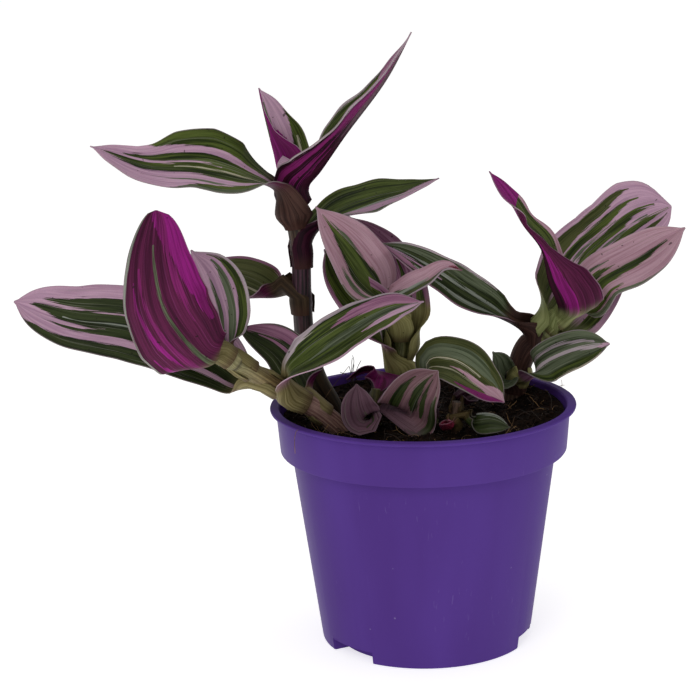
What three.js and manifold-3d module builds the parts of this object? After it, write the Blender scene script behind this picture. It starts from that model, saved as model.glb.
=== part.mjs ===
// A potted tradescantia: a moulded plastic nursery pot filled with coir soil, seven fleshy stems
// standing in it, and lance-shaped leaves that clasp the stems with short sheaths.
// Millimetres, +Z up. The origin is the centre of the pot's underside, -Y is the front.

import * as THREE from 'three';
import Module from 'manifold-3d';
import { mergeVertices } from 'three/addons/utils/BufferGeometryUtils.js';

const wasm = await Module();
wasm.setup();

// ---- Pot ----------------------------------------------------------------------------------
const POT_HEIGHT = 95;
const LIP_RADIUS = 60;
const LIP_THICKNESS = 1.3;
const BAND_TOP_RADIUS = 57.6;
const BAND_BOTTOM_RADIUS = 56.3;
const BAND_HEIGHT = 18;
const BODY_TOP_RADIUS = 52.2;
const BODY_BOTTOM_RADIUS = 41.6;
const WALL = 1.3;
const FLOOR = 1.6;
const CORNER = 0.8;                 // small chamfer round the pot's lower edge
const STEP_DROP = 1.6;              // how far the band's lower edge hangs past the step
const POT_SIDES = 40;

const NOTCH_COUNT = 3;
const NOTCH_WIDTH = 31;             // degrees round the pot
const NOTCH_FIRST = -135.5;         // degrees from +X to the middle of the first notch
const NOTCH_HEIGHT = 5;
const NOTCH_INNER_RADIUS = 35;
const NOTCH_STEPS = 6;
const DRAIN_RADIUS = 2.2;

// ---- Soil ---------------------------------------------------------------------------------
const GAP = 0.3;                    // clearance between pieces that touch
const SOIL_DEPTH_BELOW_LIP = 7;
const SOIL_RINGS = 5;
const SOIL_SIDES = 24;
const SOIL_BUMP = 1.1;

// ---- Stems --------------------------------------------------------------------------------
// Each stem is a route from its cut end in the soil to its tip, its radius at both ends, and the
// places of its nodes as shares of its length.
const STEM_POINTS_ROUND = 8;
const STEM_RING_SPACING = 7;
const NODE_SWELL = 0.45;            // extra radius at a node
const NODE_SPREAD = 2.6;            // how far a node's swelling reaches along the stem

const STEMS = {
  stem_tall: {
    route: [[-30, 17, 52], [-35, 17, 86], [-42, 17, 101], [-46, 15, 116], [-47, 14, 134],
      [-47, 14, 152], [-49, 14, 171], [-47, 14, 181]],
    radius: [4.3, 3.6],
    nodes: [0.49, 0.64, 0.79, 0.92],
    colour: '#4a2f33',
  },
  stem_left: {
    route: [[-22, -6, 56], [-29, -13, 84], [-40, -18, 97], [-52, -22, 105], [-63, -27, 114],
      [-73, -31, 122], [-80, -34, 128]],
    radius: [4.2, 3.6],
    nodes: [0.6, 0.86],
    colour: '#7d5560',
  },
  stem_middle: {
    route: [[-6, 20, 54], [-7, 20, 89], [-8, 18, 101], [-8, 18, 114], [-8, 19, 128]],
    radius: [3.6, 3.1],
    nodes: [0.75],
    colour: '#7c9a5c',
  },
  stem_right: {
    route: [[33, 27, 54], [36, 28, 84], [38, 28, 96], [42, 27, 109], [50, 26, 117],
      [57, 25, 124]],
    radius: [4.2, 3.6],
    nodes: [0.55, 0.85],
    colour: '#7c8a56',
  },
  stem_low: {
    route: [[6, -4, 58], [4, -6, 84], [2, -7, 95], [1, -8, 104]],
    radius: [3.0, 2.6],
    nodes: [0.8],
    colour: '#86995f',
  },
  stem_young_left: {
    route: [[-14, -10, 68], [-17, -12, 86], [-19, -14, 95], [-18, -13, 104]],
    radius: [2.2, 1.8],
    nodes: [0.75],
    colour: '#7f6a58',
  },
  stem_young_right: {
    route: [[13, -20, 66], [12, -22, 86], [12, -23, 93], [13, -23, 101]],
    radius: [2.2, 1.8],
    nodes: [0.75],
    colour: '#7f6a58',
  },
};

// ---- Leaves -------------------------------------------------------------------------------
// Each leaf starts as a sheath wrapped round its stem, opens into a trough and ends as a blade.
// at: where the sheath starts, as a share of the stem's length; sheath: its length;
// midrib: the points that the blade's midrib passes, last the tip; width: the blade's widest;
// faces: where the upper face looks, at the middle and at the tip; cup: degrees of curl across
// the blade at the middle and at the tip; fold: degrees of crease along the midrib;
// shape: how early the outline widens and how blunt it ends; neck: its width past the sheath;
// sides: the widths of the left and the right half, as shares of half the width;
// point: the share of the blade over which the tip draws to a point, 0 for a blunt one;
// edge: [share of the blade, left, right] points that widen or narrow each half along it;
// open: how far the crease opens towards the tip, 1 for flat;
// nest: how many sheaths of higher leaves lie inside this one.
const BLADE = 0.8;                  // thickness
const SHEATH_WRAP = 300;            // degrees that a sheath goes round its stem
const TIP_WIDTH = 0.7;
const TIP_POINT = 0.05;
const NECK_SHARE = 0.62;            // blade's width just past the sheath, as a share
const NECK_LENGTH = 0.3;            // share of the blade over which it gets its full width
const OUTLINE_START = 0.12;         // moves the outline's zero width to behind the sheath
const OPENING = 14;                 // length over which the sheath opens into the blade
const TURN_START = 4;               // where the upper face starts to turn to where it looks
const TURN_END = 0.45;              // share of the blade at which it has turned
const LEAF_ROW_SPACING = 8;
const FEWEST_ROWS = 5;
const MOST_ROWS = 10;
const WIDE_LEAF = 22;               // leaves wider than this have seven points across, not five

const LEAVES = {
  leaf_tall_low: { stem: 'stem_tall', at: 0.6, sheath: 7, width: 29,
    midrib: [[-60, 20, 134], [-74, 24, 139], [-88, 26, 141], [-96, 26, 140]],
    faces: [[0, -0.42, 0.9], [0, -0.3, 0.95]], cup: [50, 30], fold: 20, colour: '#55703f' },
  leaf_tall_right: { stem: 'stem_tall', at: 0.74, sheath: 9, width: 28, sides: [0.82, 0.95],
    midrib: [[-37, 19, 164], [-20, 26, 170], [-4, 29, 174], [8, 30, 179]],
    faces: [[0, -0.4, 0.92], [0, -0.2, 1]], cup: [50, 30], fold: 20, colour: '#5c7548' },
  leaf_tall_left: { stem: 'stem_tall', at: 0.86, sheath: 6, nest: 2, width: 30, shape: [0.4, 0.6],
    neck: 0.7, sides: [0.95, 1.1],
    edge: [[0.2, 1, 0.9], [0.45, 0.95, 1.05], [0.6, 1.05, 0.95], [0.8, 1.05, 0.6], [1, 0.9, 0.6]],
    midrib: [[-56, 11, 178], [-69, 6, 184], [-85, 1, 189], [-104, -3, 191], [-125, -5, 199]],
    faces: [[0, -0.75, 0.7], [0, -0.7, 0.7]], cup: [40, 30], fold: 20, colour: '#5f7a55' },
  leaf_tall_upright: { stem: 'stem_tall', at: 0.925, sheath: 4, nest: 1, width: 31, shape: [0.15, 1],
    neck: 1, midrib: [[-44, 12, 178], [-38, 9, 186], [-28, 6, 200], [-12, 3, 221], [-2, 0, 239]],
    faces: [[-0.8, -0.1, 0.55], [-0.7, -0.1, 0.6]], cup: [40, 30], fold: 60, colour: '#6b3f66' },
  leaf_tall_small: { stem: 'stem_tall', at: 0.965, sheath: 3, width: 29, shape: [0.4, 0.65],
    neck: 1, edge: [[0.35, 1, 1], [0.6, 0.3, 1], [0.8, 0.05, 0.9], [1, 0.05, 0.8]],
    midrib: [[-54, 21, 180], [-57, 23, 192], [-60, 23, 206], [-62, 22, 217]],
    faces: [[0.9, -0.1, 0.3], [0.8, -0.2, 0.4]], cup: [30, 30], fold: 110, colour: '#8c4a86' },

  leaf_left_low: { stem: 'stem_left', at: 0.44, sheath: 4, width: 22,
    midrib: [[-46, -4, 103], [-55, 0, 116], [-72, 2, 126]],
    faces: [[0.2, -0.7, 0.6], [0.2, -0.7, 0.6]], cup: [50, 30], fold: 20, colour: '#4c5a3c' },
  leaf_left_arching: { stem: 'stem_left', at: 0.53, sheath: 6, width: 23, shape: [0.5, 0.6],
    midrib: [[-50, -31, 114], [-42, -32, 120], [-28, -24, 128], [-12, -14, 135], [1, -8, 137]],
    faces: [[-0.2, -0.6, 0.75], [-0.1, -0.7, 0.7]], cup: [50, 30], fold: 20, colour: '#66805a' },
  leaf_left_far: { stem: 'stem_left', at: 0.66, sheath: 6, width: 34, shape: [0.5, 0.45],
    point: 0.03, sides: [0.82, 1],
    midrib: [[-70, -17, 109], [-85, -15, 119], [-112, -14, 129], [-135, -14, 133], [-156, -14, 141]],
    faces: [[0.1, -0.85, 0.5], [0.1, -0.8, 0.5]], cup: [30, 20], fold: 15, colour: '#7d7f6a' },
  leaf_left_back: { stem: 'stem_left', at: 0.79, sheath: 5, width: 28,
    edge: [[0.3, 1, 0.7], [0.6, 1, 0.95], [0.85, 1, 1.15], [1, 1, 1]],
    midrib: [[-74, -22, 124], [-76, -19, 137], [-80, -16, 149], [-87, -15, 160]],
    faces: [[0.3, -0.9, 0.3], [0.3, -0.9, 0.3]], cup: [40, 30], fold: 20, colour: '#7b8368' },
  leaf_left_front: { stem: 'stem_left', at: 0.89, sheath: 5, width: 41, shape: [0.05, 0.4],
    neck: 1, point: 0,
    edge: [[0.1, 0.5, 0.95], [0.3, 0.85, 1.1], [0.5, 1.05, 1], [0.7, 1.1, 0.85], [1, 1.1, 0.7]],
    midrib: [[-78, -41, 122], [-86, -46, 131], [-94, -49, 145], [-97, -48, 162], [-96, -43, 180]],
    faces: [[0.05, 0.95, 0.2], [0.05, 0.95, 0.2]], cup: [35, 50], fold: 5, colour: '#8f2f77' },

  leaf_middle_left: { stem: 'stem_middle', at: 0.62, sheath: 5, nest: 2, width: 22,
    midrib: [[-19, 14, 127], [-27, 14, 136], [-34, 17, 145], [-38, 20, 153]],
    faces: [[0.2, -0.85, 0.5], [0.2, -0.85, 0.5]], cup: [50, 30], fold: 20, colour: '#5f7350' },
  leaf_middle_back: { stem: 'stem_middle', at: 0.72, sheath: 7, nest: 2, width: 25, shape: [0.1, 0.9],
    neck: 1, midrib: [[-7, 29, 136], [-12, 36, 149], [-20, 39, 157], [-29, 39, 163]],
    faces: [[0.2, -0.95, 0.2], [0.2, -0.95, 0.2]], cup: [50, 30], fold: 20, colour: '#8d5f86' },
  leaf_middle_front: { stem: 'stem_middle', at: 0.835, sheath: 5, nest: 1, width: 26, neck: 0.8,
    midrib: [[-18, 18, 137], [-23, 14, 146], [-29, 10, 156], [-35, 5, 165], [-40, 2, 173]],
    faces: [[0.3, -0.9, 0.35], [0.3, -0.9, 0.35]], cup: [40, 30], fold: 15, colour: '#a98a94' },
  leaf_middle_right: { stem: 'stem_middle', at: 0.92, sheath: 4, width: 15, neck: 1,
    midrib: [[-15, 6, 132], [-8, 2, 137], [2, 0, 143], [10, -2, 149], [16, -3, 148]],
    faces: [[-0.1, -0.5, 0.85], [-0.2, -0.5, 0.85]], cup: [50, 50], fold: 30, colour: '#93817d' },

  leaf_right_dark: { stem: 'stem_right', at: 0.485, sheath: 2, nest: 0, width: 14,
    midrib: [[31, 17, 103], [30, 14, 108], [28, 12, 112]],
    faces: [[0.5, -0.8, 0.2], [0.5, -0.8, 0.2]], cup: [50, 30], fold: 20, colour: '#4c5647' },
  leaf_right_low: { stem: 'stem_right', at: 0.525, sheath: 2, nest: 0, width: 18, shape: [0.7, 0.5],
    midrib: [[42, 17, 99], [51, 14, 107], [62, 12, 112], [74, 10, 115]],
    faces: [[0.3, -0.7, 0.6], [0.2, -0.7, 0.6]], cup: [40, 30], fold: 15, colour: '#5f7350' },
  leaf_right_long: { stem: 'stem_right', at: 0.57, sheath: 16, width: 21, sides: [0.8, 1],
    midrib: [[30, 21, 125], [18, 22, 132], [4, 24, 142], [-7, 26, 149], [-17, 28, 154]],
    faces: [[-0.2, -0.6, 0.75], [-0.1, -0.7, 0.7]], cup: [60, 40], fold: 30, colour: '#57604c' },
  leaf_right_cupped: { stem: 'stem_right', at: 0.82, sheath: 3, nest: 2, width: 38, shape: [0.2, 0.3],
    neck: 1, sides: [1.02, 1.05], point: 0.03,
    edge: [[0.4, 1, 1], [0.55, 0.92, 1], [0.65, 0.98, 0.9], [0.8, 1.25, 0.7], [1, 1.3, 0.6]],
    midrib: [[62, 38, 133], [71, 46, 143], [86, 52, 153], [103, 54, 162]],
    faces: [[-0.3, -0.9, 0.4], [-0.2, -0.9, 0.3]], cup: [60, 40], fold: 10, colour: '#8b8a7c' },
  leaf_right_streaked: { stem: 'stem_right', at: 0.88, sheath: 3, nest: 1, width: 24, shape: [0.7, 0.35],
    neck: 0.9, sides: [0.85, 1.2], point: 0.1,
    midrib: [[64, 24, 132], [72, 25, 139], [88, 27, 147], [105, 26, 158]],
    faces: [[-0.2, -0.75, 0.65], [-0.2, -0.8, 0.6]], cup: [40, 30], fold: 15, colour: '#a98a94' },
  leaf_right_curled: { stem: 'stem_right', at: 0.94, sheath: 3, width: 34, shape: [0.12, 0.5],
    neck: 1, open: 1,
    edge: [[0.2, 1.1, 0.9], [0.35, 0.9, 0.8], [0.5, 0.25, 0.75], [0.66, 0.1, 0.7], [0.85, 0.75, 0.6],
      [1, 0.8, 0.6]],
    midrib: [[54, 12, 130], [50, 9, 141], [47, 6, 154], [40, 5, 164], [34, 4, 175], [27, 5, 185]],
    faces: [[0.75, 0.35, 0.55], [0.7, -0.6, 0.35]], cup: [50, 60], fold: 100, colour: '#7d2f6c' },

  leaf_young_muted: { stem: 'stem_young_left', at: 0.65, sheath: 2, width: 17, shape: [0.4, 0.6],
    midrib: [[-23, -23, 94], [-25, -25, 100], [-25, -25, 109]],
    faces: [[0.3, -0.9, 0.2], [0.3, -0.9, 0.2]], cup: [50, 30], fold: 15, colour: '#8a6a78' },
  leaf_young_dark: { stem: 'stem_young_left', at: 0.8, sheath: 2, width: 16,
    midrib: [[-15, 2, 104], [-22, 6, 106], [-30, 6, 103]],
    faces: [[0, 0.4, 0.9], [0, 0.4, 0.9]], cup: [40, 30], fold: 15, colour: '#6b2657' },
  leaf_low_front: { stem: 'stem_low', at: 0.71, sheath: 2.5, width: 26, shape: [0.2, 0.5],
    midrib: [[-5, -16, 94], [-5, -22, 98], [-2, -25, 105], [6, -26, 114]],
    faces: [[-0.1, -0.95, 0.2], [-0.1, -0.95, 0.3]], cup: [30, 30], fold: 10, colour: '#947a7f' },
  leaf_low_arching: { stem: 'stem_low', at: 0.86, sheath: 3, width: 24, shape: [0.5, 0.5],
    midrib: [[3, -9, 112], [12, -14, 113], [22, -19, 107], [31, -22, 100]],
    faces: [[0.1, -0.6, 0.8], [0.6, -0.6, 0.5]], cup: [40, 30], fold: 15, colour: '#667a4e' },

  leaf_young_red: { stem: 'stem_young_right', at: 0.7, sheath: 2, width: 9,
    midrib: [[9, -30, 92], [8, -33, 95]],
    faces: [[0, 0.8, 0.5], [0, 0.8, 0.5]], cup: [40, 30], fold: 15, colour: '#8a2a44' },
  leaf_young_green: { stem: 'stem_young_right', at: 0.79, sheath: 2, width: 11,
    midrib: [[19, -26, 92], [26, -28, 93], [33, -29, 92]],
    faces: [[0, -0.7, 0.7], [0, -0.7, 0.7]], cup: [40, 30], fold: 15, colour: '#63793f' },
  leaf_young_brown: { stem: 'stem_young_right', at: 0.88, sheath: 2, width: 12,
    midrib: [[14, -17, 98], [18, -14, 100], [22, -12, 101]],
    faces: [[-0.2, -0.7, 0.7], [-0.2, -0.7, 0.7]], cup: [60, 40], fold: 15, colour: '#4d2f3f' },
};

// ---- Geometry helpers ---------------------------------------------------------------------

const point = ([x, y, z]) => new THREE.Vector3(x, y, z);
const mix = (a, b, t) => a + (b - a) * t;
const smooth = (a, b, t) => THREE.MathUtils.smoothstep(t, a, b);
const radians = THREE.MathUtils.degToRad;

// Closed body through rings of points. Each ring runs across one face and back across the
// other, so that both ends close with a strip, and both faces split into triangles alike.
function loft(rings) {
  const count = rings[0].length;
  const half = count / 2;
  const positions = rings.flat().flatMap((p) => [p.x, p.y, p.z]);
  const index = [];
  for (let row = 0; row < rings.length - 1; row++) {
    for (let i = 0; i < count; i++) {
      const a = row * count + i;
      const b = row * count + (i + 1) % count;
      const c = a + count;
      const d = b + count;
      if (i < half) index.push(a, b, d, a, d, c);
      else index.push(a, b, c, b, d, c);
    }
  }
  const last = (rings.length - 1) * count;
  for (let i = 0; i < half - 1; i++) {
    const j = count - 1 - i;
    index.push(i, j, i + 1, i + 1, j, j - 1);
    index.push(last + i, last + i + 1, last + j, last + i + 1, last + j - 1, last + j);
  }
  const geometry = new THREE.BufferGeometry();
  geometry.setAttribute('position', new THREE.Float32BufferAttribute(positions, 3));
  geometry.setIndex(index);
  return geometry;
}

function toSolid(geometry) {
  const bare = geometry.clone();
  bare.deleteAttribute('normal');
  bare.deleteAttribute('uv');
  const merged = mergeVertices(bare, 1e-4);
  return new wasm.Manifold(new wasm.Mesh({
    numProp: 3,
    vertProperties: new Float32Array(merged.attributes.position.array),
    triVerts: new Uint32Array(merged.index.array),
  }));
}

function toGeometry(solid) {
  const mesh = solid.getMesh();
  const geometry = new THREE.BufferGeometry();
  geometry.setAttribute('position', new THREE.BufferAttribute(mesh.vertProperties, 3));
  geometry.setIndex(new THREE.BufferAttribute(mesh.triVerts, 1));
  return geometry;
}

// Body of revolution about Z from a profile of [radius, z] points.
function turned(profile, sides) {
  const points = profile.map(([r, z]) => new THREE.Vector2(r, z));
  return new THREE.LatheGeometry(points, sides).rotateX(Math.PI / 2);
}

// ---- Pot ----------------------------------------------------------------------------------

const bandBottom = POT_HEIGHT - BAND_HEIGHT;

function potOutline() {
  return [
    [0, 0], [BODY_BOTTOM_RADIUS - CORNER, 0], [BODY_BOTTOM_RADIUS, CORNER],
    [BODY_TOP_RADIUS, bandBottom + STEP_DROP], [BAND_BOTTOM_RADIUS - 1, bandBottom],
    [BAND_BOTTOM_RADIUS, bandBottom + 1],
    [BAND_TOP_RADIUS, POT_HEIGHT - LIP_THICKNESS - 0.6],
    [LIP_RADIUS - 0.4, POT_HEIGHT - LIP_THICKNESS], [LIP_RADIUS, POT_HEIGHT - LIP_THICKNESS / 2],
    [LIP_RADIUS - 0.4, POT_HEIGHT],
  ];
}

function potCavity(shrink) {
  return [
    [BAND_TOP_RADIUS - WALL - shrink, POT_HEIGHT],
    [BAND_BOTTOM_RADIUS - WALL - shrink, bandBottom + STEP_DROP + WALL + shrink],
    [BODY_TOP_RADIUS - WALL - shrink, bandBottom + STEP_DROP - 1],
    [BODY_BOTTOM_RADIUS - WALL - shrink, FLOOR + shrink], [0, FLOOR + shrink],
  ];
}

// A block in the corner between wall and floor, as wide, deep and high as a notch plus `grow`.
function notchBlock(middle, grow) {
  const spread = radians(NOTCH_WIDTH / 2) + grow / NOTCH_INNER_RADIUS;
  const from = radians(middle) - spread;
  const to = radians(middle) + spread;
  const outline = new THREE.Shape();
  outline.absarc(0, 0, LIP_RADIUS, from, to, false);
  outline.absarc(0, 0, NOTCH_INNER_RADIUS - grow, to, from, true);
  const options = { depth: NOTCH_HEIGHT + grow + 1, bevelEnabled: false, curveSegments: NOTCH_STEPS };
  return toSolid(new THREE.ExtrudeGeometry(outline, options).translate(0, 0, -1));
}

function drainHole(middle) {
  const radius = (NOTCH_INNER_RADIUS + BODY_BOTTOM_RADIUS) / 2;
  const hole = new THREE.CylinderGeometry(DRAIN_RADIUS, DRAIN_RADIUS, 4 * WALL, 12).rotateX(Math.PI / 2);
  hole.translate(radius * Math.cos(radians(middle)), radius * Math.sin(radians(middle)), NOTCH_HEIGHT);
  return toSolid(hole);
}

const notchMiddles = Array.from({ length: NOTCH_COUNT }, (_, i) => NOTCH_FIRST + i * 360 / NOTCH_COUNT);

function potGeometry() {
  const outside = toSolid(turned([...potOutline(), [0, POT_HEIGHT]], POT_SIDES));
  let pot = toSolid(turned([...potOutline(), ...potCavity(0)], POT_SIDES));
  for (const middle of notchMiddles) {
    pot = pot.add(outside.intersect(notchBlock(middle, WALL)));
    pot = pot.subtract(notchBlock(middle, 0)).subtract(drainHole(middle));
  }
  return toGeometry(pot);
}

// ---- Soil ---------------------------------------------------------------------------------

const soilTop = POT_HEIGHT - SOIL_DEPTH_BELOW_LIP;

function soilBump(x, y) {
  return SOIL_BUMP * (Math.sin(x / 6.1 + 1.3) * Math.cos(y / 5.3) + 0.6 * Math.sin((x - 2 * y) / 7.7));
}

function soilBody() {
  const [, bandFoot, bodyTop, floorEdge, floorMiddle] = potCavity(GAP);
  const rim = bandFoot[0] + (soilTop - bandFoot[1]) * (BAND_TOP_RADIUS - BAND_BOTTOM_RADIUS) / BAND_HEIGHT;
  const surface = Array.from({ length: SOIL_RINGS }, (_, i) => [rim * (1 - i / SOIL_RINGS), soilTop]);
  const profile = [floorMiddle, floorEdge, bodyTop, bandFoot, ...surface, [0, soilTop]];
  const body = turned(profile, SOIL_SIDES);
  const position = body.attributes.position;
  for (let i = 0; i < position.count; i++) {
    if (position.getZ(i) < soilTop - 0.01) continue;
    position.setZ(i, soilTop + soilBump(position.getX(i), position.getY(i)));
  }
  return toSolid(body);
}

function soilGeometry() {
  let soil = soilBody();
  for (const middle of notchMiddles) soil = soil.subtract(notchBlock(middle, WALL + GAP));
  for (const stem of Object.values(STEMS)) soil = soil.subtract(toSolid(stemTube(stem, GAP)));
  return toGeometry(soil);
}

// ---- Stems --------------------------------------------------------------------------------

const stemCurve = (stem) => new THREE.CatmullRomCurve3(stem.route.map(point), false, 'centripetal');

function stemRadius(stem, share) {
  const length = stemCurve(stem).getLength();
  const swell = stem.nodes
    .map((node) => Math.exp(-(((share - node) * length / NODE_SPREAD) ** 2)))
    .reduce((sum, part) => sum + part, 0);
  return mix(stem.radius[0], stem.radius[1], share) + NODE_SWELL * swell;
}

function stemTube(stem, grow) {
  const curve = stemCurve(stem);
  const steps = Math.round(curve.getLength() / STEM_RING_SPACING) + 2;
  const frames = curve.computeFrenetFrames(steps, false);
  const rings = frames.tangents.map((tangent, row) => {
    const share = row / steps;
    const end = row === 0 ? -grow : 0;
    const centre = curve.getPointAt(share).addScaledVector(tangent, end);
    const radius = stemRadius(stem, share) + grow;
    return Array.from({ length: STEM_POINTS_ROUND }, (_, i) => {
      const angle = (i + 0.5) * 2 * Math.PI / STEM_POINTS_ROUND;
      return centre.clone()
        .addScaledVector(frames.normals[row], radius * Math.cos(angle))
        .addScaledVector(frames.binormals[row], radius * Math.sin(angle));
    });
  });
  return loft(rings);
}

// ---- Leaves -------------------------------------------------------------------------------

// Half the blade's width at a share of the way from the sheath to the tip.
function halfWidth(leaf, share) {
  const [rise, fall] = leaf.shape ?? [0.62, 0.75];
  const outline = (t) => (t + OUTLINE_START) ** rise * (1 - t) ** fall;
  const widest = Math.max(0, (rise - OUTLINE_START * fall) / (rise + fall));
  const tip = leaf.point ?? TIP_POINT;
  const taper = tip > 0 ? 1 - Math.exp(-(1 - share) / tip) : 1;
  return Math.max(TIP_WIDTH / 2, leaf.width / 2 * outline(share) / outline(widest) * taper);
}

// How wide the left and the right half are at a share of the blade, against their usual width.
function edgeShares(leaf, share) {
  const knots = leaf.edge;
  if (!knots || share <= knots[0][0]) return knots ? knots[0].slice(1) : [1, 1];
  const after = knots.findIndex(([at]) => at >= share);
  const [from, ...low] = knots[after - 1];
  const [to, ...high] = knots[after];
  return low.map((width, side) => mix(width, high[side], (share - from) / (to - from)));
}

// Points across a leaf at one station, from its left margin to its right, as [across, up].
function section(halfSpan, cup, fold, columns, sides) {
  const perSide = (columns - 1) / 2;
  const half = (share) => {
    const points = [[0, 0]];
    for (let i = 1; i <= perSide; i++) {
      const angle = radians(fold / 2 + cup / 2 * (i - 0.5) / perSide);
      const [across, up] = points[i - 1];
      const step = halfSpan * share / perSide;
      points.push([across + step * Math.cos(angle), up + step * Math.sin(angle)]);
    }
    return points;
  };
  const left = half(sides[0]).slice(1).reverse().map(([across, up]) => [-across, up]);
  return [...left, ...half(sides[1])];
}

// Unit normals of a section at each of its points.
function sectionNormals(points) {
  return points.map((_, i) => {
    const before = points[Math.max(0, i - 1)];
    const after = points[Math.min(points.length - 1, i + 1)];
    const size = Math.hypot(after[0] - before[0], after[1] - before[1]);
    return [-(after[1] - before[1]) / size, (after[0] - before[0]) / size];
  });
}

// One ring of a leaf: across its upper face and back across its lower face. A frame is the
// midrib's place, its direction and the direction that the upper face looks in.
function leafRing(frame, points, thickness) {
  const right = new THREE.Vector3().crossVectors(frame.tangent, frame.up).normalize();
  const normal = new THREE.Vector3().crossVectors(right, frame.tangent);
  const normals = sectionNormals(points);
  const face = (offset) => points.map(([across, rise], i) => frame.place.clone()
    .addScaledVector(right, across + offset * normals[i][0])
    .addScaledVector(normal, rise + offset * normals[i][1]));
  return [...face(thickness / 2), ...face(-thickness / 2).reverse()];
}

// The sheath's three stations along the stem, and half the width of its wrap. Each station lies
// on the side of the stem that the blade leaves from, outside the sheaths nested in this one.
function sheath(leaf, columns) {
  const stem = STEMS[leaf.stem];
  const curve = stemCurve(stem);
  const shares = [0, 0.5, 1].map((t) => Math.min(1, leaf.at + t * leaf.sheath / curve.getLength()));
  const outward = point(leaf.midrib[0]).sub(curve.getPointAt(shares[2]));
  const facet = radians(SHEATH_WRAP / (columns - 1));
  const thickest = Math.max(...shares.map((share) => stemRadius(stem, share)));
  const layers = (leaf.nest ?? 0) * (BLADE + 2 * GAP);
  const ride = (thickest + GAP + layers + BLADE / 2) / Math.cos(facet / 2);
  const stations = shares.map((share) => {
    const tangent = curve.getTangentAt(share);
    const side = outward.clone().addScaledVector(tangent, -outward.dot(tangent)).normalize();
    const place = curve.getPointAt(share).addScaledVector(side, ride);
    return { place, tangent, up: side.negate() };
  });
  return { stations, wrap: ride * Math.sin(facet / 2) * (columns - 1) };
}

function leafGeometry(leaf, grow) {
  const columns = leaf.width > WIDE_LEAF ? 7 : 5;
  const thickness = BLADE + 2 * grow;
  const { stations, wrap } = sheath(leaf, columns);
  const blade = new THREE.CatmullRomCurve3(
    [stations[1].place.clone(), stations[2].place, ...leaf.midrib.map(point)], false, 'centripetal');
  const length = blade.getLength();
  const start = stations[1].place.distanceTo(stations[2].place) / length;
  const rows = THREE.MathUtils.clamp(Math.round(length / LEAF_ROW_SPACING), FEWEST_ROWS, MOST_ROWS);
  const round = section(wrap + grow, SHEATH_WRAP, 0, columns, [1, 1]);
  stations[0].place.addScaledVector(stations[0].tangent, -grow);
  const rings = stations.slice(0, 2).map((station) => leafRing(station, round, thickness));
  const carried = stations[2].up.clone();
  let before = stations[2].tangent;
  for (let row = 0; row <= rows; row++) {
    const share = row / rows;
    const at = mix(start, 1, share);
    const tangent = row === 0 ? before : blade.getTangentAt(at);
    carried.applyQuaternion(new THREE.Quaternion().setFromUnitVectors(before, tangent));
    before = tangent;
    const aim = point(leaf.faces[0]).lerp(point(leaf.faces[1]), smooth(0.5, 1, share)).normalize();
    const up = carried.clone().lerp(aim, smooth(TURN_START / length, TURN_END, share));
    const open = smooth(0, OPENING / length, share);
    const neck = mix(leaf.neck ?? NECK_SHARE, 1, smooth(0, NECK_LENGTH, share));
    const span = mix(wrap, halfWidth(leaf, share) * neck, smooth(0, OUTLINE_START, share));
    const cup = mix(SHEATH_WRAP, mix(leaf.cup[0], leaf.cup[1], share), open);
    const edges = edgeShares(leaf, share);
    const sides = (leaf.sides ?? [1, 1]).map((side, i) => mix(1, side * edges[i], open));
    const fold = leaf.fold * open * mix(1, 1 - (leaf.open ?? 0), smooth(0.5, 0.9, share));
    const points = section(span + grow, cup, fold, columns, sides);
    rings.push(leafRing({ place: blade.getPointAt(at), tangent, up }, points, thickness));
  }
  return loft(rings);
}

function largestBody(solid) {
  return solid.decompose().reduce((best, body) => (body.volume() > best.volume() ? body : best));
}

// A stem's leaves nest in each other: each is cut clear of the stem and of the leaves above it.
function nestedLeaves(stemName) {
  const inner = [toSolid(stemTube(STEMS[stemName], GAP))];
  const own = Object.entries(LEAVES).filter(([, leaf]) => leaf.stem === stemName).reverse();
  return own.map(([name, leaf]) => {
    let solid = toSolid(leafGeometry(leaf, 0));
    for (const other of inner) solid = largestBody(solid.subtract(other));
    inner.push(toSolid(leafGeometry(leaf, GAP)));
    return [name, solid];
  });
}

// ---- Assembly -----------------------------------------------------------------------------

function finish(colour, roughness) {
  return new THREE.MeshStandardMaterial({ color: new THREE.Color(colour), roughness, metalness: 0 });
}

function piece(name, geometry, material) {
  const mesh = new THREE.Mesh(geometry, material);
  mesh.name = name;
  return mesh;
}

const plant = new THREE.Group();
plant.add(piece('pot', potGeometry(), finish('#51357f', 0.4)));
plant.add(piece('soil', soilGeometry(), finish('#33271f', 1)));
for (const [name, stem] of Object.entries(STEMS)) {
  plant.add(piece(name, stemTube(stem, 0), finish(stem.colour, 0.5)));
  for (const [leafName, solid] of nestedLeaves(name)) {
    plant.add(piece(leafName, toGeometry(solid), finish(LEAVES[leafName].colour, 0.5)));
  }
}

export default plant;
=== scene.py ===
"""Looks of the potted tradescantia: the pot, soil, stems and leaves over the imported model."""

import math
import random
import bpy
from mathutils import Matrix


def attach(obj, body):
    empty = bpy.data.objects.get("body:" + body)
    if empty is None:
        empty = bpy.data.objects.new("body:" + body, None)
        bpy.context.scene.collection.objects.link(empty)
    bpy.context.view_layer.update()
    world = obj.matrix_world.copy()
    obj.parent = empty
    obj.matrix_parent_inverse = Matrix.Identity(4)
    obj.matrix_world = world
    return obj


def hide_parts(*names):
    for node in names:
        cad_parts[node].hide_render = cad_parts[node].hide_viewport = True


bl_info = {
    "name": "Potted Tradescantia",
    "version": (1, 0, 0),
    "blender": (4, 5, 0),
    "location": "View3D > Sidebar > Plant",
    "description": "Models a potted tradescantia: nursery pot, coir soil, stems and striped leaves",
    "category": "Add Mesh",
}

from functools import partial

import bmesh
import bpy
import numpy as np
from mathutils import Matrix, Vector, noise

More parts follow.
